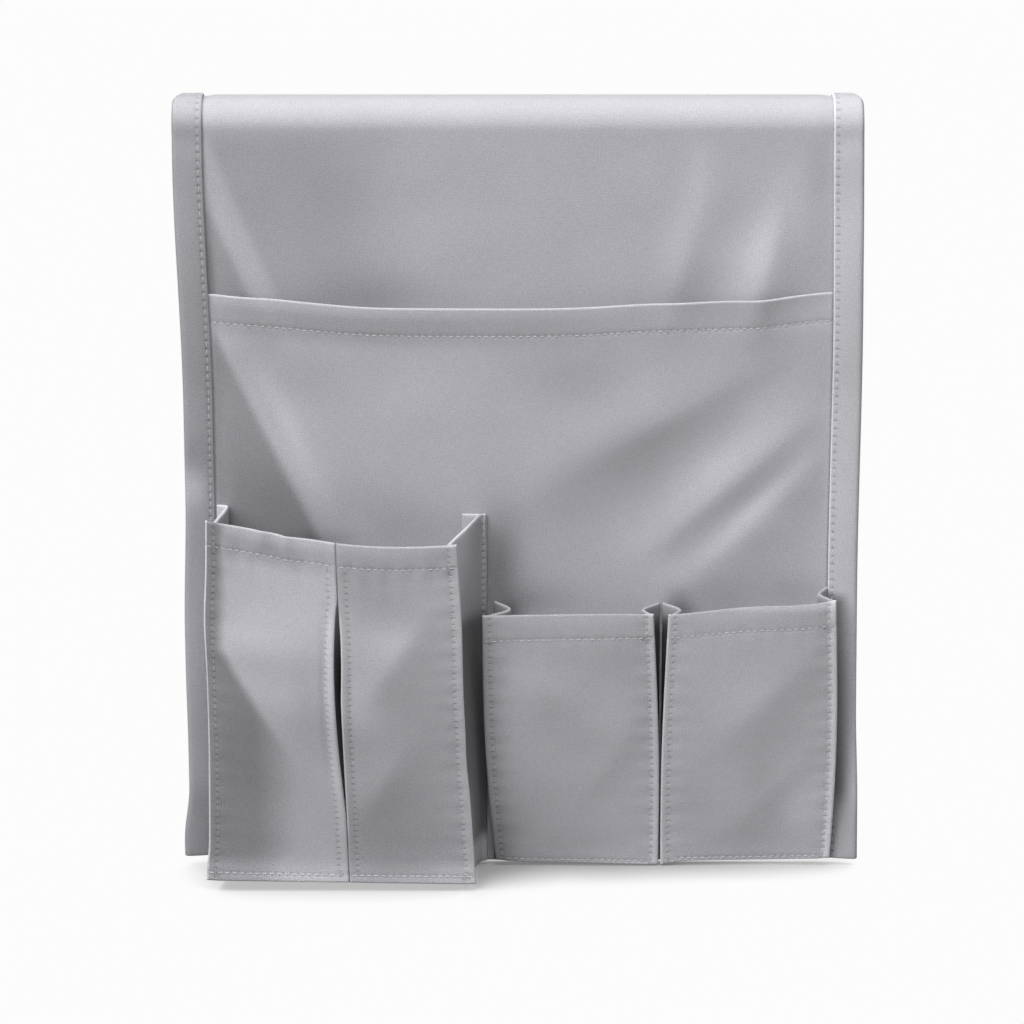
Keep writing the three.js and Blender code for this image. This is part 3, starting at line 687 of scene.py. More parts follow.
def magazine_y(x, z):
    """Middle of the pocket's cloth: its layers, the bulge and the folds, all forward of the strip."""
    height = np.clip(part_way(z, BOTTOM_Z, MOUTH_Z), 0, 1)
    bulge = BULGE * mix(SLACK, 1, height**0.8) * openness(x)
    soft = freedom(x) * (folds(x, z, MAGAZINE_FOLDS) + folds(x, z, PANEL_FOLDS) + uneven(x, z, 8, 0.5, 60))
    return -DROP_Y - LAYER * magazine_layers(z) - bulge - soft - curl(x, z)


def magazine(a, b):
    """The pocket: a across, b down from its mouth."""
    top = magazine_top(a)
    z = top - b * (top - BOTTOM_Z) / MAGAZINE_LENGTH
    y = magazine_y(a, z) + pucker(b - HEM, a, 0.12) * freedom(a)
    return points(lean(a, z), y, raised(a, z))


def hemmed(a, b, depth=HEM):
    """Thickness of a pocket with a hem: pressed to less than two layers down to the stitch row."""
    return folded(b - depth, 0.6)


cloth(
    "magazine_pocket_cloth",
    magazine,
    spaced(-MAGAZINE_X, MAGAZINE_X, 2.4),
    np.concatenate([spaced(0, HEM + 3, 1.2, (0.95, 0.4))[:-4], spaced(HEM + 3, MAGAZINE_LENGTH, 2.4)[4:]]),
    hemmed,
    [row((-136, HEM + 0.5), (136, HEM + 0.5))],
    # A painted shadow line beside the right-hand side hem.
    shadow_lines=[row((SEWN_X, 0), (SEWN_X, MAGAZINE_LENGTH))],
    painted_shade=lambda a, b: magazine_painted_shade(a, magazine_top(a) - b),
    thread="thread_magazine",
)

# %% [markdown]
# ## Tissue pocket
#
# The box pocket has a flat front in two halves, joined above and below a slit, and walls that are sewn to
# the front with a pinched seam: both edges stand out as a narrow rim with a stitch row behind it. The walls
# end in flanges that are sewn on the magazine pocket. The front could be one sheet with a hole, but the slit
# is only as wide as its lips are apart, so two sheets that meet along the seam are simpler and truer.

# %% Outline of the tissue pocket's front
TISSUE_Y, TISSUE_SAG = -DROP_Y - 43.0, 4.4
TISSUE_TOP = ((-136.35, -175.4), (-29.2, -186.1))  # x and z of its left and right corner
TISSUE_BOTTOM = ((-137.9, -338.6), (-19.25, -340.4))
TISSUE_WIDTH, TISSUE_LENGTH, TISSUE_HEM = 107.2, 160.0, 10.7
HALF_WIDTH = {-1: 58.0, 1: 54.0}
SEAM_TOP_X, SEAM_BOTTOM_X = -80.3, -75.0
SLIT_TOP, SLIT_BOTTOM = -209.3, -309.0


def tissue_edge(k, z):
    """x of the front's outer edge, k 0 for the left one and 1 for the right one."""
    (x0, z0), (x1, z1) = TISSUE_TOP[k], TISSUE_BOTTOM[k]
    t = part_way(z, z0, z1)
    if k == 0:
        bow = 1.1 * smooth((t - 0.28) / 0.4) * fade(t, 0.88, 0.12) - 0.8 * bell(t, 0.27, 0.1)
    else:
        bow = 1.75 * fade(t, 0.16, 0.36) - 0.5 * bell(t, 0.64, 0.07)
    return mix(x0, x1, t) + bow


def slit_edge(side, z):
    """x of a half's inner edge: along the seam, bowed apart between the ends of the slit."""
    t = np.clip(part_way(z, SLIT_TOP, SLIT_BOTTOM), 0, 1)
    seam = mix(SEAM_TOP_X, SEAM_BOTTOM_X, part_way(z, TISSUE_TOP[0][1], TISSUE_BOTTOM[0][1]))
    bow = np.sin(math.pi * t**0.8) ** 1.05
    bow = -2.6 * bow if side < 0 else 0.45 * bell(t, 0.2, 0.14) - 0.5 * bow * smooth((t - 0.3) / 0.2)
    return seam + bow * smooth(t / 0.06) + side * 0.1


def tissue_top(x):
    """z of the mouth: it sags between its corners, with a small step and a bump left of the slit."""
    t = part_way(x, TISSUE_TOP[0][0], TISSUE_TOP[1][0])
    step = 0.35 * np.tanh((x + 103.5) / 6) * bell(x, -103.5, 18) - 0.5 * bell(x, -90, 8)
    sag = TISSUE_SAG * np.sin(math.pi * np.clip(t, 0, 1) ** 1.25)
    return mix(TISSUE_TOP[0][1], TISSUE_TOP[1][1], t) - sag - step


# %% Shape of a half of the front
TISSUE_FOLDS = [
    ((-136, -222), (-88, -296), (12, 32), (20, 30), 4.6, 0.8),
    ((-30, -203), (-74, -266), (12, 12), (12, 12), 2.2, 1.0),
    ((-44, -264), (-76, -322), (12, 12), (12, 12), 1.8, 1.0),
    ((-114, -164), (-111, -197), (2.4, 2.4), (2.4, 2.4), 1.1, 1.0),
    ((-104, -164), (-100, -199), (2.6, 2.6), (2.6, 2.6), 1.4, 1.0),
]


def tissue_front(side):
    """Shape of a half: a from its outer edge to the slit on the left, the other way on the right.

    It stands forward by its folds, a belly of half a sine and the rolled lips of the slit.
    """
    width, outer = HALF_WIDTH[side], int(side > 0)

    def shape(a, b):
        share = a / width if side < 0 else 1 - a / width
        at_top = mix(TISSUE_TOP[outer][0], slit_edge(side, TISSUE_TOP[0][1]), share)
        top = tissue_top(at_top)
        bottom = mix(TISSUE_BOTTOM[0][1], TISSUE_BOTTOM[1][1], (at_top - TISSUE_TOP[0][0]) / TISSUE_WIDTH)
        z = top - b * (top - bottom) / TISSUE_LENGTH
        x = mix(tissue_edge(outer, z), slit_edge(side, z), share)
        from_rim, from_slit = share * width, (1 - share) * width
        held = smooth(from_rim / 7) * smooth((TISSUE_LENGTH - b) / 9)
        rise = folds(x, z, TISSUE_FOLDS) + uneven(x, z, 5, 0.4, 42)
        belly = 5.0 * np.sin(math.pi * np.clip(b / TISSUE_LENGTH, 0, 1)) * smooth(share * 1.2)
        t = np.clip(part_way(z, SLIT_TOP, SLIT_BOTTOM), 0, 1)
        roll = 1.5 * bell(from_slit, 1.4, 2.2) - 1.2 * bell(from_slit, 4.6, 1.6)
        rolled = (roll if side < 0 else 0.3 * roll) * np.sin(math.pi * t) ** 1.5
        wave = pucker(b - HEM, a, 0.25) + pucker(from_rim - RIM, b, 0.12)
        back = 0.5 * smooth(1 - from_rim / RIM)
        return points(x, TISSUE_Y - held * rise - belly - rolled - wave * smooth(from_rim / 4) + back, z)

    return shape


# %% Painted shade and thickness of the front
PINCHED, SLIT_HEM = 1.9, 1.6  # thickness of the rim and of the slit's lips
# Spots of painted shade (positive k) and painted highlight (negative k) on each half.
TISSUE_PAINTED_SPOTS = {
    -1: [
        *((-112, -237, 24, 9, 0.2), (-102, -331, 17, 8, -0.24), (-114, -207, 20, 18, -0.12)),
        *((-91, -250, 6, 20, 0.09), (-107, -184, 4, 5, 0.1), (-82, -190, 9, 7, -0.1)),
    ],
    1: [
        *((-52, -238, 14, 12, -0.14), (-68, -255, 12, 10, -0.18), (-63, -200, 22, 18, 0.18)),
        *((-50, -221, 15, 6, -0.1), (-66, -244, 8, 7, -0.08), (-52, -316, 30, 6, 0.05)),
    ],
}


def tissue_painted_shade(side):
    """Painted shade left of the long fold, on the rolled mouth, lower down and beside the left rim; painted
    highlights at the foot, along the edges of the rims and on the lips of the slit."""
    width = HALF_WIDTH[side]

    def painted_shade(a, b):
        x, z = (-136 if side < 0 else -78) + a, -178 - b
        from_rim = a if side < 0 else width - a
        from_slit = width - from_rim
        lower = smooth((-z - 215) / 60)
        dark = lip_shade(b, TISSUE_HEM, 0.25 if side < 0 else 0.1) + spots(x, z, TISSUE_PAINTED_SPOTS[side])
        if side < 0:
            dark = dark + fold_shade(x, z, TISSUE_FOLDS[0], 6, 0.46) * smooth((-94 - x) / 24) + 0.06 * lower
            dark = np.maximum(dark, 0.5 * fade(from_rim, 4.5, 6))
            edge, lips = mix(-0.6, -0.3, smooth((b - 40) / 30)), -0.14 * bell(from_slit, 2.2, 1.8)
        else:
            dark = dark + 0.12 + 0.16 * lower - 0.14 * fade(from_rim, 3.4, 1.4)
            edge, lips = -0.2, -0.35 * fade(from_slit, 0.4, 0.6)
        dark = dark - 0.34 * smooth((b - 146) / 12)
        return mix(dark, edge, fade(from_rim, 0.4, 0.6)) + lips * smooth((b - 30) / 8) * fade(b, 132, 8)

    return painted_shade


def tissue_thickness(side):
    """Two layers at the hem, along the pinched rim, along the turned edge at the slit and at the foot."""
    width = HALF_WIDTH[side]

    def thickness(a, b):
        from_rim = a if side < 0 else width - a
        rim, slit = folded(from_rim, RIM, PINCHED), folded(width - from_rim - RIM, 0.4, SLIT_HEM)
        return np.maximum.reduce([rim, slit, folded(TISSUE_LENGTH - b, RIM), hemmed(a, b, TISSUE_HEM)])

    return thickness


# %% Fronts of the tissue pocket
RIM_LOOK = {"pitch": 2.86, "hole": 0.34, "thread": 0.07}
for word, side in SIDES:
    width, foot = HALF_WIDTH[side], TISSUE_LENGTH - RIM
    rim_at, slit_at = (RIM, width - RIM) if side < 0 else (width - RIM, RIM)
    cloth(
        f"tissue_{word}",
        tissue_front(side),
        spaced(0, width, 1.3, (0.95, 0.85)),
        spaced(0, TISSUE_LENGTH, 1.5, (0.95, 0.95)),
        tissue_thickness(side),
        [
            row((0.5, TISSUE_HEM), (width - 0.3, TISSUE_HEM)),
            row((rim_at, 2.5), (rim_at, TISSUE_LENGTH - 1.5), **RIM_LOOK),
            row((slit_at, HEM + 2), (slit_at, foot), **RIM_LOOK),
            row((0.8, foot), (width - 0.8, foot), hole=0.25, thread=0.15),
        ],
        painted_shade=tissue_painted_shade(side),
        thread="thread_tissue",
    )

# %% [markdown]
# ## Walls, floor and pleats
#
# These pieces are bent along upright lines. Each is a polyline in plan, whose corners are rounded, and the
# polyline changes from the mouth to the foot. Rounding a corner by a quadratic curve of reach r adds
# r (1 - |s|)^2 / 4 times the change of direction, where s is the distance from the corner in reaches. A
# Bevel modifier could round the corners too, but it would lose the pattern's distances.


# %% Cloth bent along a polyline
def bent(a, stops, corners, reaches):
    """Points in plan at a distance a: corners are x and y arrays, stops their distances along the cloth."""
    steps = [
        [(np.asarray(q[k]) - p[k]) / (s1 - s0) for k in (0, 1)]
        for p, q, s0, s1 in zip(corners, corners[1:], stops, stops[1:])
    ]
    place = [corners[0][k] + 0 * a for k in (0, 1)]
    for k in (0, 1):
        for step, s0, s1 in zip(steps, stops, stops[1:]):
            place[k] = place[k] + step[k] * np.clip(a - s0, 0, s1 - s0)
        for before, after, stop, reach in zip(steps, steps[1:], stops[1:], reaches):
            s = np.clip(np.abs(a - stop) / reach, 0, 1)
            place[k] = place[k] + reach * (1 - s) ** 2 / 4 * (after[k] - before[k])
    return place


# %% Walls of the tissue pocket
ATTACH = ((-129.3, -178.2), (-14.5, -180.0))  # x and z of the walls' upper back corners
FLANGE, WALL = 11.0, 37.0
PINCH = 3.0  # how far a wall's back corner is pinched, like the front's edges
WALL_HEM, WALL_FLANGE = 1.6, 1.7  # thicknesses


def tissue_wall(side):
    """Shape and stops of a wall: a over its flange, the wall and the rim behind the front, b down."""
    k = int(side > 0)
    attach_x, attach_top = ATTACH[k]
    flange_x = max(attach_x - FLANGE, 2.9 - SEWN_X)
    flange = attach_x - flange_x
    stops = (0, flange, flange + PINCH, flange + PINCH + WALL, flange + PINCH + WALL + RIM - 0.6)
    pinch_x, pinch_y = (PINCH, 1.5) if side > 0 else (0.1, PINCH)

    def shape(a, b):
        down = b / TISSUE_LENGTH
        back_z = raised(attach_x, mix(attach_top, BOTTOM_Z, down))
        front_z = mix(TISSUE_TOP[k][1] - 0.8, TISSUE_BOTTOM[k][1], down)
        flange_y, back_y = (magazine_y(x, back_z) - LAYER for x in (flange_x, attach_x))
        edge, front_y = tissue_edge(k, front_z), TISSUE_Y + PINCHED
        corners = (
            (flange_x, flange_y),
            (attach_x, back_y),
            (attach_x - pinch_x, back_y - pinch_y),
            (edge - side * RIM, front_y),
            (edge - side * 0.6, front_y),
        )
        x, y = bent(a, stops, corners, (0.9, 1.0, 1.2))
        share = np.clip((a - stops[2]) / WALL, 0, 1)
        hollow = 1.6 * np.sin(math.pi * share) * smooth(down * 3) * (1 if side > 0 else 0.7)
        soft = uneven(a, b, 11 + side, 0.5, 50) * np.sin(math.pi * share)
        return points(x - side * (hollow + soft), y, mix(back_z, front_z, share))

    return shape, stops


def wall_painted_shade(side, stops):
    """Painted highlight on the left wall's mouth. The right wall gets painted highlights at its mouth, foot
    and flange, and painted shade in the gap beside the remote control pocket."""

    def left(a, b):
        return -0.4 * fade(b, 5, 5)

    def right(a, b):
        share = np.clip((a - stops[2]) / WALL, 0, 1)
        lit = np.maximum(smooth(share * 1.7 - 0.15) * smooth((b - 105) / 36), smooth((b - 144) / 6))
        gap = smooth((b - 45 + 7 * share) / 8 + 0.5) * (1 - 0.95 * lit)
        top = smooth(share / 0.6) * fade(b, 12, 34)
        flange = 0.25 * fade(a, stops[1] - 1, 2) * fade(b, 16, 6)
        return 0.66 * gap - 0.34 * top - 0.3 * smooth((b - 146) / 6) + 0.1 * (b < 0.5) - flange

    return left if side < 0 else right


def wall_thickness(a, b):
    """Two layers at the mouth's hem and along the flange's edge."""
    return np.maximum(folded(b, HEM, WALL_HEM), folded(a, 4, WALL_FLANGE))


for (word, side), row_end in zip(SIDES, (156, 64)):
    shape, stops = tissue_wall(side)
    row_at = stops[1] + 1.8
    near_bends = [np.linspace(stop - 1.2, stop + 1.2, 9) for stop in stops[1:4]]
    across = np.unique(np.concatenate([spaced(0, stops[4], 2.2), *near_bends]))
    cloth(
        f"tissue_wall_{word}",
        shape,
        across[np.concatenate([[True], np.diff(across) > 0.04])],
        spaced(0, TISSUE_LENGTH, 2.4, (0.8, 0.4)),
        wall_thickness,
        [row((row_at, 1.5), (row_at, row_end), hole=0.4, thread=0.13)],
        outward=-side,
        painted_shade=wall_painted_shade(side, stops),
        thread="thread_walls",
    )

# %% [markdown]
# ## Floor of the tissue pocket
#
# The floor is hidden in the picture, but tissues have to rest on something. It is a strip bent up at the
# back and down at the front, so the same function bends it, with height in the place of one direction.

# %% Floor
FLOOR_WIDTH, FLOOR_LIFT = 104.0, 3.6  # its width, and its height over the front's foot
FLOOR_STOPS = (0, 4, 40, 40 + FLOOR_LIFT)


def tissue_floor(a, b):
    """The floor: a from left to right, b from the back flange's end over the floor to the front's end."""
    t = a / FLOOR_WIDTH
    bottom = mix(TISSUE_BOTTOM[0][1], TISSUE_BOTTOM[1][1], t)
    floor_z = bottom + FLOOR_LIFT
    back_x, front_x = mix(-126.4, -20.4, t), mix(-131.2, -24.0, t)
    back_y, front_y = magazine_y(back_x, floor_z) - 2 * LAYER, TISSUE_Y + LAYER
    corners = ((back_y, BOTTOM_Z + 0 * a), (back_y, floor_z), (front_y, floor_z), (front_y, bottom))
    y, z = bent(b, FLOOR_STOPS, corners, (1, 1))
    return points(mix(back_x, front_x, np.clip((b - 4) / 36, 0, 1)), y, z)


cloth("tissue_floor", tissue_floor, spaced(0, FLOOR_WIDTH, 3), spaced(0, FLOOR_STOPS[3], 1.5))

# %% [markdown]
# ## Remote control pockets
#
# One strip of cloth makes both pockets. It is sewn down at three places, and beside each of them it is
# pleated: it folds in and comes back out to the edge of the front, so that the pocket can open. At the foot
# the pleats are pressed flat. The fronts are almost flat, so each is a plane between four corners, with a
# crown and a few folds.

# %% Outline of the remote control pockets
REMOTE_SEAMS = (-12.0, 62.25, SEWN_X)
REMOTE_SEAM_TOPS = (-220.2, -221.4, -215.5)
REMOTE_CORNERS = (((-16.6, -222.2), (58.6, -221.4)), ((64.9, -221.7), (138.4, -214.9)))
REMOTE_FEET = ((-10.8, 61.75), (62.75, 138.3))
REMOTE_BOWS = ((-1.9, 1.2), (-1.0, 1.8))
REMOTE_TOP_Z, REMOTE_FRONT, REMOTE_CROWN = -219.0, 28.0, 2.5
REMOTE_LENGTH, REMOTE_WIDTH = 120.0, 75.0
REMOTE_FOOT_Y = -DROP_Y - 4 * LAYER - BULGE * SLACK


def remote_plane(z):
    """y of a front's plane: forward at the mouth, flat against the strip at the foot."""
    return mix(-DROP_Y - REMOTE_FRONT, REMOTE_FOOT_Y, np.clip(part_way(z, REMOTE_TOP_Z, BOTTOM_Z), 0, 1))


def remote_edge(pocket, k, fall):
    """x of a front's edge on the way down: k is 0 for the left one and 1 for the right one."""
    bow = REMOTE_BOWS[pocket][k] * np.sin(math.pi * fall**1.1)
    return mix(REMOTE_CORNERS[pocket][k][0], REMOTE_FEET[pocket][k], fall) + bow


def remote_mouth(pocket, share):
    """z of a mouth: a line between its corners with a low arch, on the right pocket an uneven one."""
    t = math.pi * np.clip(share, 0, 1)
    arch = (0.8, 0.5)[pocket] * np.sin(t) + pocket * (0.45 * np.sin(2 * t) - 0.4 * np.sin(3 * t))
    return mix(REMOTE_CORNERS[pocket][0][1], REMOTE_CORNERS[pocket][1][1], share) + arch


def remote_foot(pocket, a):
    """How much higher than level a front's foot hangs: both fronts sink where they meet."""
    if pocket == 0:
        return 0.8 * bell(a, 0, 8) - 1.5 * (a / REMOTE_WIDTH) ** 2
    return 1.6 * np.clip(a / REMOTE_WIDTH, 0, 1) ** 0.6 - 1.6 * bell(a, 0, 6)


# %% Fronts of the remote control pockets
EDGE_LOOK = {"pitch": 3.05, "hole": 0.46, "thread": 0.13}
EDGE_STITCH, FOOT_STITCH = 3.4, 1.6
REMOTE_HEMS = ((12.2, 11.2), (10.8, 10.8))  # depth of each pocket's hem row at its left and right end
RIM_HIGHLIGHT = ((0, 0.24), (0.3, 0.46))  # painted highlight on each pocket's pressed left and right rims
REMOTE_FOLDS = [
    [
        ((-8, -232), (50, -300), (16, 18), (14, 16), 1.3, 1),
        ((60, -262), (8, -336), (16, 18), (12, 14), 1.4, 1),
    ],
    [
        ((138, -228), (76, -296), (18, 22), (12, 14), 1.7, 1),
        ((138, -276), (82, -338), (14, 16), (10, 12), 1.5, 1),
    ],
]
# Spots of painted shade (positive k) and painted highlight (negative k) on each front.
REMOTE_PAINTED_SPOTS = [
    [
        *((10, 62, 12, 36, -0.24), (0, 118, 8, 22, 0.4), (56, 84, 18, 24, -0.12)),
        *((29, 21, 14, 9, 0.11), (44, 62, 16, 9, 0.09)),
    ],
    [
        *((61, 90, 11, 20, -0.24), (42, 80, 8, 12, 0.1), (29, 40, 18, 14, -0.07)),
        *((12, 92, 9, 12, 0.08), (66, 50, 9, 14, -0.08)),
    ],
]


def remote_front(pocket):
    """Shape of a front: a across, b down, forward of its plane by a crown, folds and puckered seams."""

    def shape(a, b):
        share, fall = a / REMOTE_WIDTH, np.clip(b / REMOTE_LENGTH, 0, 1)
        top = remote_mouth(pocket, share)
        x = mix(remote_edge(pocket, 0, fall), remote_edge(pocket, 1, fall), share)
        z = top - b * (top - BOTTOM_Z) / REMOTE_LENGTH + remote_foot(pocket, a) * fall**3
        crown = REMOTE_CROWN * np.sin(math.pi * np.clip(share, 0, 1)) * np.sin(math.pi * mix(0.25, 1, fall))
        from_edge = np.minimum(a, REMOTE_WIDTH - a)
        held = smooth(from_edge / 14) * smooth((REMOTE_LENGTH - b) / 14)
        soft = held * (folds(x, z, REMOTE_FOLDS[pocket]) + uneven(x, z, 21 + pocket, 0.4, 40))
        wave = pucker(b - HEM, a, 0.15) + pucker(from_edge - RIM, b, 0.12)
        return points(x, remote_plane(z) - crown - soft - wave * smooth(from_edge / 4), z)

    return shape


def remote_thickness(a, b):
    """Two layers at the hem and along both pressed rims."""
    return np.maximum(folded(np.minimum(a, REMOTE_WIDTH - a), RIM, PINCHED), hemmed(a, b))


def remote_painted_shade(pocket):
    """Painted highlight over the front, more at the foot and along the rims, painted shade at the mouth's
    edge.
    """

    def painted_shade(a, b):
        pale = -0.06 - 0.12 * smooth((b - 106) / 12) + 0.45 * fade(b, 0.4, 0.7) - 0.1 * fade(b, 2, 5)
        left, right = RIM_HIGHLIGHT[pocket]
        rims = left * fade(a, 0.4, 0.6) + right * fade(REMOTE_WIDTH - a, 2.8, 1.6)
        return pale - rims + spots(a, b, REMOTE_PAINTED_SPOTS[pocket])

    return painted_shade


for pocket, (word, _) in enumerate(SIDES):
    left_hem, right_hem = REMOTE_HEMS[pocket]
    foot, far = REMOTE_LENGTH - FOOT_STITCH, REMOTE_WIDTH - EDGE_STITCH
    cloth(
        f"remote_{word}",
        remote_front(pocket),
        spaced(0, REMOTE_WIDTH, 1.5, (0.95, 0.95)),
        spaced(0, REMOTE_LENGTH, 1.6, (0.95, 0.5)),
        remote_thickness,
        [
            row((0.5, left_hem), (REMOTE_WIDTH - 0.5, right_hem)),
            *(row((x, 1.5), (x, REMOTE_LENGTH - 1.5), **EDGE_LOOK) for x in (EDGE_STITCH, far)),
            row((5, foot), (REMOTE_WIDTH - 5, foot), hole=0.1, thread=0.15),
        ],
        painted_shade=remote_painted_shade(pocket),
        thread=f"thread_remote_{word}",
    )

# %% [markdown]
# ## Pleats
#
# A pleat is cloth that goes in and comes back out. Seen from above it is a V with a round bottom, wide at
# the mouth and closed at the foot. Two flat sheets would show a sharp crease there, so one strip is bent.
# Its tone is dark, because hardly any light reaches the inside.

# %% Pleats of the remote pockets
# PLEAT_SHADES: the painted shade inside each pleat.
PLEAT_DEPTHS, PLEAT_SHADES = (8.0, 8.0, 8.0, 4.8), (0.6, 0.72, 0.72, 0.35)
PLEAT_IN, PLEAT_OUT, PLEAT_ROUND = 11.0, 13.0, 4.0
PLEAT_HEM = 1.7  # thickness
PLEATS = ((0, -1), (0, 1), (1, -1), (1, 1))  # the pocket and side of each, from left to right


def remote_pleat(number):
    """Shape of a pleat: a from the seam into the fold and back out to the front's edge, b down."""
    pocket, side = PLEATS[number]
    k = int(side > 0)
    seam_x, seam_top = REMOTE_SEAMS[pocket + k] - side * LAYER / 2, REMOTE_SEAM_TOPS[pocket + k]
    fold_x = seam_x - side * PLEAT_DEPTHS[number]
    front_top = REMOTE_CORNERS[pocket][k][1] - 0.4
    foot_z = BOTTOM_Z + max(remote_foot(pocket, k * REMOTE_WIDTH), 0)

    def shape(a, b):
        fall = np.clip(b / REMOTE_LENGTH, 0, 1)
        back_z, front_z = mix(seam_top, foot_z, fall), mix(front_top, foot_z + 0.3, fall)
        back_y = magazine_y(seam_x, back_z) - LAYER
        front_y = remote_plane(front_z) + mix(1.1, 0.9, fall)
        edge = (remote_edge(pocket, k, fall) - side * 0.5, front_y)
        corners = ((seam_x, back_y), (fold_x, mix(back_y, front_y, 0.5)), edge)
        x, y = bent(a, (0, PLEAT_IN, PLEAT_IN + PLEAT_OUT), corners, (PLEAT_ROUND,))
        share = np.clip((back_y - y) / (back_y - front_y), 0, 1)
        return points(x, y, mix(back_z, front_z, share))

    return shape


def pleat_painted_shade(a, b, size):
    """Painted shade from just below the mouth, darkest along the seam."""
    seam = (0.93 - size) * fade(a, 1.5, 4) * smooth((b - 4) / 10) * (size > 0.5)
    return 0.2 + (size - 0.2) * smooth((b - 3) / 6) + seam


for number, (_, side) in enumerate(PLEATS):
    cloth(
        f"pleat_{number + 1}",
        remote_pleat(number),
        spaced(0, PLEAT_IN + PLEAT_OUT, 1.0),
        spaced(0, REMOTE_LENGTH, 2.4, (0.8, 0.4)),
        lambda a, b: folded(b, HEM, PLEAT_HEM),
        outward=-side,
        painted_shade=lambda a, b: pleat_painted_shade(a, b, PLEAT_SHADES[number]),
    )

# %% [markdown]
# ## Grip strips
#
# Such organizers slip off the arm unless something holds them. Two rubbery strips are sewn to the underside
# of the arm cover. They follow the cloth's folds, just inside it.


# %% Grip strips
def grip(depth):
    """Shape of a strip at a depth below the fold: the back piece's own path and folds, moved inwards."""

    def shape(a, b):
        y, z, ny, _ = strip_path(-HALF_FOLD - depth - b)
        inside = arm_lift(a, z) - CLOTH / 2 - 0.3
        return points(lean(a, z), y + ny * inside - 0.4, z)

    return shape


for word, depth in zip(("upper", "lower"), GRIP_DEPTHS):
    across = spaced(-GRIP_LENGTH / 2, GRIP_LENGTH / 2, 3, (0.3, 0.3))
    cloth(f"grip_{word}", grip(depth), across, spaced(0, GRIP_WIDTH, 1.4, (0.3, 0.3)), 0.6)

# %% [markdown]
# ## Thread
#
# The rows were noted when their cloth was made, so the same lists place the threads. Each set of threads
# is one object that moves with the cloth it holds.

# %% Thread
for name, lines in sewn.items():
    stitches(name, lines)

# %% [markdown]
# ## Shader expressions
#
# The canvas needs a fair amount of arithmetic. Wrapping a socket in a small class lets it be written as
# ordinary expressions: each operator adds one Math node. Any other node comes from one method.


# %% A graph of nodes and its values
class Value:
    """A socket that can be used in an expression."""

    def __init__(self, graph, socket):
        self.graph, self.socket = graph, socket

    def output(self, key):
        """Another output of the same node."""
        return Value(self.graph, self.socket.node.outputs[key])

    def maths(self, operation, *others):
        """One Math node with this value as its first input."""
        return self.graph.node("ShaderNodeMath", {"operation": operation}, dict(enumerate((self, *others))))

    def held(self, low, high):
        """This value, kept between low and high."""
        return self.maths("MAXIMUM", low).maths("MINIMUM", high)

    def __add__(self, other):
        return self.maths("ADD", other)

    __radd__ = __add__

    def __mul__(self, other):
        return self.maths("MULTIPLY", other)

    __rmul__ = __mul__

    def __sub__(self, other):
        return self.maths("SUBTRACT", other)

    def __rsub__(self, other):
        return (self * -1) + other


class Graph:
    """The nodes of a material or of the world, around the shader that is there from the start."""

    def __init__(self, owner, shader="Principled BSDF", **values):
        owner.use_nodes = True
        self.owner, self.tree = owner, owner.node_tree
        self.shader = self.tree.nodes[shader]
        for socket, value in values.items():
            self.shader.inputs[socket.replace("_", " ")].default_value = value

    def node(self, kind, settings=None, inputs=None, output=0):
        """Adds a node: its settings first, then its sockets' values and links. Returns one output."""
        node = self.tree.nodes.new(kind)
        for key, value in (settings or {}).items():
            setattr(node, key, value)
        for key, value in (inputs or {}).items():
            if isinstance(value, Value):
                self.tree.links.new(value.socket, node.inputs[key])
            else:
                node.inputs[key].default_value = value
        return Value(self, node.outputs[output])

    def split(self, vector):
        """The three parts of a vector."""
        x = self.node("ShaderNodeSeparateXYZ", None, {0: vector})
        return x, x.output(1), x.output(2)

    def between(self, share, dark, pale):
        """A colour from dark to pale."""
        return self.node("ShaderNodeMix", {"data_type": "RGBA"}, {0: share, 6: dark, 7: pale}, 2)

    def feed(self, socket, value, node=None):
        """Links a value to a socket of the first shader or of another node."""
        self.tree.links.new(value.socket, (node or self.shader).inputs[socket])


def rgb(*screen):
    """A colour as it is written on screen, 0 to 255, turned into linear light."""
    shares = (v / 255 for v in screen)
    return tuple(v / 12.92 if v <= 0.04045 else ((v + 0.055) / 1.055) ** 2.4 for v in shares) + (1.0,)


def times(colour, *factors):
    """A colour made brighter or darker, once for each factor."""
    return [tuple(min(1, c * k) for c in colour[:3]) + (1,) for k in factors]


# %% [markdown]
# ## Canvas
#
# Seen from where the picture was taken, one thread of the weave is about a pixel wide. What the eye gets is
# a fine, slightly uneven grain. The weave itself is a product of two sine waves, one along each thread
# direction, whose phase wanders so that no moire appears. Slubs, the thicker stretches of a yarn, are noise
# stretched along the threads. The seam attribute adds a groove under the stitches and painted shade in the
# needle holes, and the shade attribute a painted shadow line beside the side hems and the painted shade and
# highlights of the tone.


# %% Canvas material
THREAD_WIDTH = 0.00056  # in metres


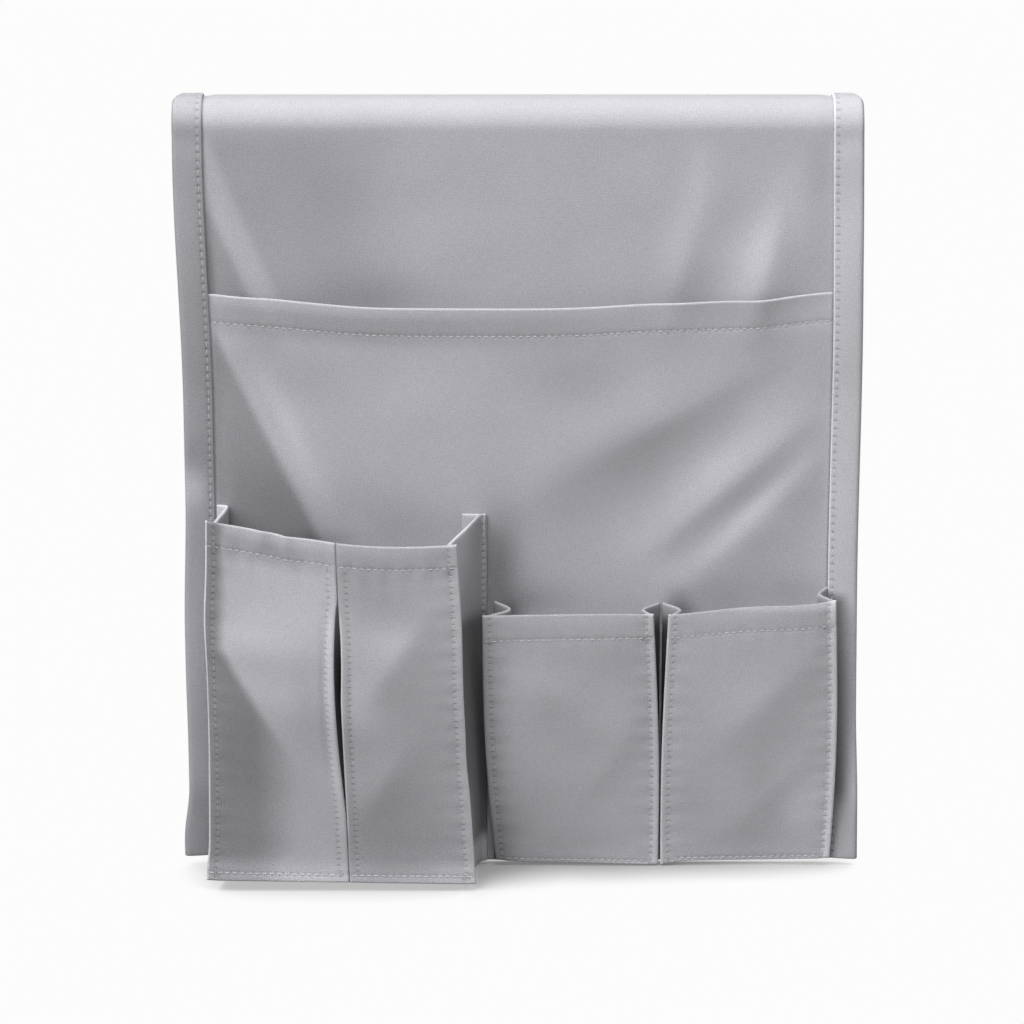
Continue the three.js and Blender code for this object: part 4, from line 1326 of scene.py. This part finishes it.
def canvas(name, colour):
    """Cloth of a colour: grain, slubs and blotches take it from half to one and a half times that colour."""
    g = Graph(bpy.data.materials.new(name), Roughness=0.9, Sheen_Weight=0.12, Sheen_Roughness=0.5)
    g.shader.inputs["Specular IOR Level"].default_value = 0.25
    u, v, _ = g.split(g.node("ShaderNodeUVMap", {"uv_map": "cloth"}))

    def noise(u_scale, v_scale, detail=2.0):
        stretched = g.node("ShaderNodeCombineXYZ", None, {0: u * u_scale, 1: v * v_scale})
        return g.node("ShaderNodeTexNoise", None, {"Vector": stretched, "Scale": 1.0, "Detail": detail})

    def stored(attribute):
        return g.split(g.node("ShaderNodeAttribute", {"attribute_name": attribute}, output="Vector"))

    wander = noise(900, 900, 1.0)
    warp, weft = ((w * (math.pi / THREAD_WIDTH) + wander * k).maths("SINE") for w, k in ((u, 5.0), (v, 4.0)))
    weave = warp * weft
    slub = noise(1900, 260) + noise(260, 1900)
    grain, blotch = noise(1900, 1900, 1.0), noise(42, 42, 3.0)
    away, passed, holes = stored("seam")
    shadow_line_away, painted_darkening, _ = stored("shade")
    near, wide, edge = (
        (d * d * -k).maths("EXPONENT") for d, k in ((away, 1.1), (away, 0.16), (shadow_line_away, 1.6))
    )
    hole = near * ((passed * (2 * math.pi)).maths("COSINE") - 0.55).maths("MAXIMUM", 0.0) * 2.2
    light = slub * 0.2 + grain * 0.75 + blotch * 0.12 + weave * 0.03 - 0.135
    # Painted shade in the needle holes and along the painted shadow lines (edge).
    shade = (light - hole * holes - edge * 0.45).held(0.0, 1.0)
    # The tone scales the colour: painted shade and painted highlights.
    toned = {0: g.between(shade, *times(colour, 0.5, 1.5)), "Scale": 1 - painted_darkening}
    g.feed("Base Color", g.node("ShaderNodeVectorMath", {"operation": "SCALE"}, toned))
    height = weave * 0.02 + slub * 0.05 + grain * 0.1 - near * 0.12 - wide * 0.1 - hole * 0.1
    g.feed("Normal", g.node("ShaderNodeBump", None, {"Strength": 0.8, "Distance": MM, "Height": height}))
    return g.owner


CANVAS = rgb(172, 171.3, 176.2)
finishes = {"canvas": canvas("canvas", CANVAS)}
# Copies painted for the light: the left hem darker, the right one paler, walls, floor and pleats darker.
for word, painted_light in {"hem_left": 0.77, "hem_right": 1.07, "gusset": 0.88}.items():
    finishes[word] = canvas(f"canvas_{word}", times(CANVAS, painted_light)[0])
print("canvas has", len(finishes["canvas"].node_tree.nodes), "nodes")

# %% [markdown]
# ## Thread and rubber
#
# Thread is paler than the canvas and the grip strips are a darker rubber. Both are too small in the picture
# for a pattern of their own, so a fine grain is enough. It reads Object coordinates, in metres.


# %% Thread and rubber
def plain(name, colour, rough, grain_size, depth):
    """A finish with a fine grain in Object coordinates: its colour varies a little and it has a bump."""
    g = Graph(bpy.data.materials.new(name), Roughness=rough)
    where = g.node("ShaderNodeTexCoord", output="Object")
    grain = g.node("ShaderNodeTexNoise", None, {"Vector": where, "Scale": grain_size, "Detail": 2.0})
    g.feed("Base Color", g.between(grain, *times(colour, 0.8, 1.18)))
    g.feed("Normal", g.node("ShaderNodeBump", None, {"Strength": 0.6, "Distance": depth, "Height": grain}))
    return g.owner


finishes["thread"] = plain("thread", rgb(196, 196, 200), 0.6, 2500.0, 0.0001)
finishes["rubber"] = plain("rubber", rgb(92, 92, 96), 0.7, 1400.0, 0.0003)
print("finishes:", *finishes)

# %% [markdown]
# ## Which piece moves with what
#
# The arm cover folds up at the near edge of the arm and the tuck flap at the far one. The pieces of the
# strip, its side hems and their threads keep their place, with their transforms applied. The other pieces
# ride on one body each, the fronts of the pockets, which press flat, on their own, and the walls, floor and
# pleats get meshes of their own.

# %% Pieces that cross an edge of the arm
objects = bpy.data.objects


def dress(name, finish, slot, *nodes):
    """A piece with its finish, which stands for the solids that are named; its slot is not used."""
    piece = objects[name]
    piece.data.materials.clear()
    piece.data.materials.append(finishes[finish])
    if nodes:
        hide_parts(*nodes)
    return piece


for name, dressed in {
    "strip_front": ("canvas", "canvas", "front_panel", "top_fold", "front_hem"),
    "hem_left_front": ("hem_left", "hem_canvas", "front_band_left", "fold_band_left"),
    "hem_right_front": ("hem_right", "hem_canvas", "front_band_right", "fold_band_right"),
    "thread_front": ("thread", "hem_canvas"),
}.items():
    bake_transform(dress(name, *dressed))
for name, dressed in {
    "strip_back": ("canvas", "canvas", "arm_cover", "tuck_flap", "tuck_hem"),
    "hem_left_back": ("hem_left", "hem_canvas", "arm_band_left", "tuck_band_left"),
    "hem_right_back": ("hem_right", "hem_canvas", "arm_band_right", "tuck_band_right"),
    "thread_back": ("thread", "hem_canvas"),
}.items():
    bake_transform(dress(name, *dressed))

# %% Pieces that ride on one body
riding = {
    "magazine_pocket_cloth": ("root", "canvas", "canvas", "magazine_pocket"),
    "thread_magazine": ("root", "thread", "hem_canvas"),
    "thread_tissue": ("tissue_front", "thread", "hem_canvas"),
    "thread_walls": ("root", "thread", "hem_canvas"),
    "tissue_floor": ("root", "gusset", "gusset_canvas", "tissue_base"),
}
for word, _ in SIDES:
    front = f"remote_front_{word}"
    riding[f"tissue_{word}"] = ("tissue_front", "canvas", "canvas", f"tissue_front_{word}")
    riding[f"tissue_wall_{word}"] = ("root", "gusset", "gusset_canvas", f"tissue_gusset_{word}")
    riding[f"remote_{word}"] = (front, "canvas", "canvas", front)
    riding[f"thread_remote_{word}"] = (front, "thread", "hem_canvas")
for word in ("upper", "lower"):
    riding[f"grip_{word}"] = ("arm_cover", "rubber", "grip_rubber", f"grip_strip_{word}")
for number in range(1, 5):
    riding[f"pleat_{number}"] = ("root", "gusset", "gusset_canvas", f"remote_pleat_{number}")
for name, (body, *dressed) in riding.items():
    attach(dress(name, *dressed), body)
for name in ("tissue_wall_left", "tissue_wall_right", "tissue_floor", "thread_walls"):
    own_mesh(objects[name])
for number in range(1, 5):
    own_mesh(objects[f"pleat_{number}"])
print(len(riding) + 8, "pieces move with the solids")

# %% [markdown]
# ## Flat sizes
#
# Cloth is cut before it is hung, and the pattern's own distances are the size it was cut to. The sizes of
# the main sheets are printed; the side hems are part of the strip's cloth.

# %% The flat sizes of the cloth
flat_sizes = {
    "strip_front": (2 * PANEL_X, FRONT_LENGTH + JOIN),
    "strip_back": (2 * PANEL_X, BACK_LENGTH - JOIN),
    "magazine_pocket_cloth": (2 * MAGAZINE_X, MAGAZINE_LENGTH),
    "tissue_left": (HALF_WIDTH[-1], TISSUE_LENGTH),
    "tissue_right": (HALF_WIDTH[1], TISSUE_LENGTH),
    "tissue_wall_left": (52, TISSUE_LENGTH),
    "tissue_wall_right": (55, TISSUE_LENGTH),
    "tissue_floor": (FLOOR_WIDTH, FLOOR_STOPS[3]),
    "remote_left": (REMOTE_WIDTH, REMOTE_LENGTH),
    "remote_right": (REMOTE_WIDTH, REMOTE_LENGTH),
}
for name, flat in flat_sizes.items():
    tuple(v * MM for v in flat)
    print(name, "was cut to", *(round(v, 1) for v in flat))
for number, width in enumerate((20, 20, 20, 17), 1):
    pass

# %% [markdown]
# ## Floor
#
# The picture shows a white studio with a soft shadow under the organizer. A floor lit to white would take
# so much light that the cloth washes out. So its white comes from its own material, only for rays from the
# camera, and the share of open sky over each point, which an Ambient Occlusion node gives, draws the
# shadow. The shadow is paler under the tissue pocket, on the left, and towards the right.

# %% Floor
FLOOR_SIDE, FLOOR_GAP = 30000.0, 1.9  # half of its width, and how far below the organizer it lies
around = ((-1, -1), (1, -1), (1, 1), (-1, 1))
corners = [(x * FLOOR_SIDE, y * FLOOR_SIDE, BOTTOM_Z - FLOOR_GAP) for x, y in around]
floor = new_piece("floor", np.array(corners), [(0, 1, 2, 3)])
g = Graph(bpy.data.materials.new("floor"))
camera_ray = g.node("ShaderNodeLightPath")
seen = camera_ray
for kind in ("Is Glossy Ray", "Is Transmission Ray"):
    seen = seen.maths("MAXIMUM", camera_ray.output(kind))
open_sky = g.node("ShaderNodeAmbientOcclusion", {"samples": 12}, {"Distance": 0.042}, "AO")


def grey_shader(kind, grey):
    """A plain shader of one grey."""
    return g.node(kind, None, {"Color": (grey, grey, grey, 1)})


def mixed(share, first, second):
    """From the first shader to the second one."""
    return g.node("ShaderNodeMixShader", None, {0: share, 1: first, 2: second})


paper, white = grey_shader("ShaderNodeBsdfDiffuse", 0.16), grey_shader("ShaderNodeEmission", 0.975)
x, _, _ = g.split(g.node("ShaderNodeTexCoord", output="Object"))
below = ((-0.018 - x) * 143).held(0.0, 1.0)
beside = (x * 12.5 - 0.5).held(0.0, 1.0)
sky = open_sky * (1.8 - below * 0.53) - 0.5 + below * 0.62 + beside * 0.26
visible = mixed(sky.held(below * 0.33 + 0.17, 1.0), paper, white)
hidden = grey_shader("ShaderNodeBsdfDiffuse", 0.22)
g.feed("Surface", mixed(seen, hidden, visible), g.tree.nodes["Material Output"])
floor.data.materials.append(g.owner)

# %% [markdown]
# ## World and lamps
#
# A large soft lamp stands high in front, a little to the left, so surfaces that face up are almost twice as
# bright as upright ones. A second, lower one from the left shows the folds. Two wide suns do for them, and
# the world adds a little light from all around. Its own white is seen by the camera only.

# %% World and lamps
AMBIENT, KEY, SIDE = 0.12, 4.2, 1.62
world = bpy.data.worlds.new("studio")
bpy.context.scene.world = world
g = Graph(world, "Background", Color=(1, 1, 1, 1), Strength=AMBIENT)
room = Value(g, g.shader.outputs[0])
white = g.node("ShaderNodeBackground", None, {"Color": (0.98, 0.98, 0.98, 1)})
g.feed("Surface", mixed(g.node("ShaderNodeLightPath"), room, white), g.tree.nodes["World Output"])


def sun(name, strength, elevation, azimuth, spread):
    """A soft distant lamp: azimuth is counted from straight in front, to the right."""
    lamp = bpy.data.lights.new(name, "SUN")
    lamp.energy, lamp.angle = strength, math.radians(spread)
    new_object(name, lamp).rotation_euler = (math.radians(90 - elevation), 0, math.radians(azimuth))


sun("key", KEY, 71, -14, 40)
sun("side", SIDE, 31, -45, 42)
print("lamps", KEY, SIDE, "and ambient light", AMBIENT)

# %% [markdown]
# ## Camera
#
# The picture was taken from 14 degrees above and from far away, so upright lines stay upright. The lens
# follows from how many pixels one millimetre has at the point that the camera aims at.

# %% Camera
ELEVATION, DISTANCE, PIXELS_PER_MM = math.radians(14), 2400.0, 2.267
SENSOR, PICTURE = 36.0, 1024  # width of the sensor in millimetres and of the picture in pixels
aim = np.array([-3.5, -13.0, -182.6])
back = np.array([0, -math.cos(ELEVATION), math.sin(ELEVATION)])
camera = new_object("camera", bpy.data.cameras.new("camera"))
camera.data.sensor_width = SENSOR
camera.data.lens = PIXELS_PER_MM * DISTANCE * SENSOR / PICTURE
camera.data.clip_end = 100.0
camera.location = (aim + DISTANCE * back) * MM
camera.rotation_euler = (math.pi / 2 - ELEVATION, 0, 0)
bpy.context.scene.camera = camera
bpy.context.scene.view_settings.view_transform = "Standard"
print("lens", round(camera.data.lens, 1), "mm")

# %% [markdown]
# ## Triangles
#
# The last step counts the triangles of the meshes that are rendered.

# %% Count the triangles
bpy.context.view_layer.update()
meshes = [o.data for o in objects if o.type == "MESH" and not o.hide_render]
print("triangles", sum(len(face.vertices) - 2 for mesh in meshes for face in mesh.polygons))
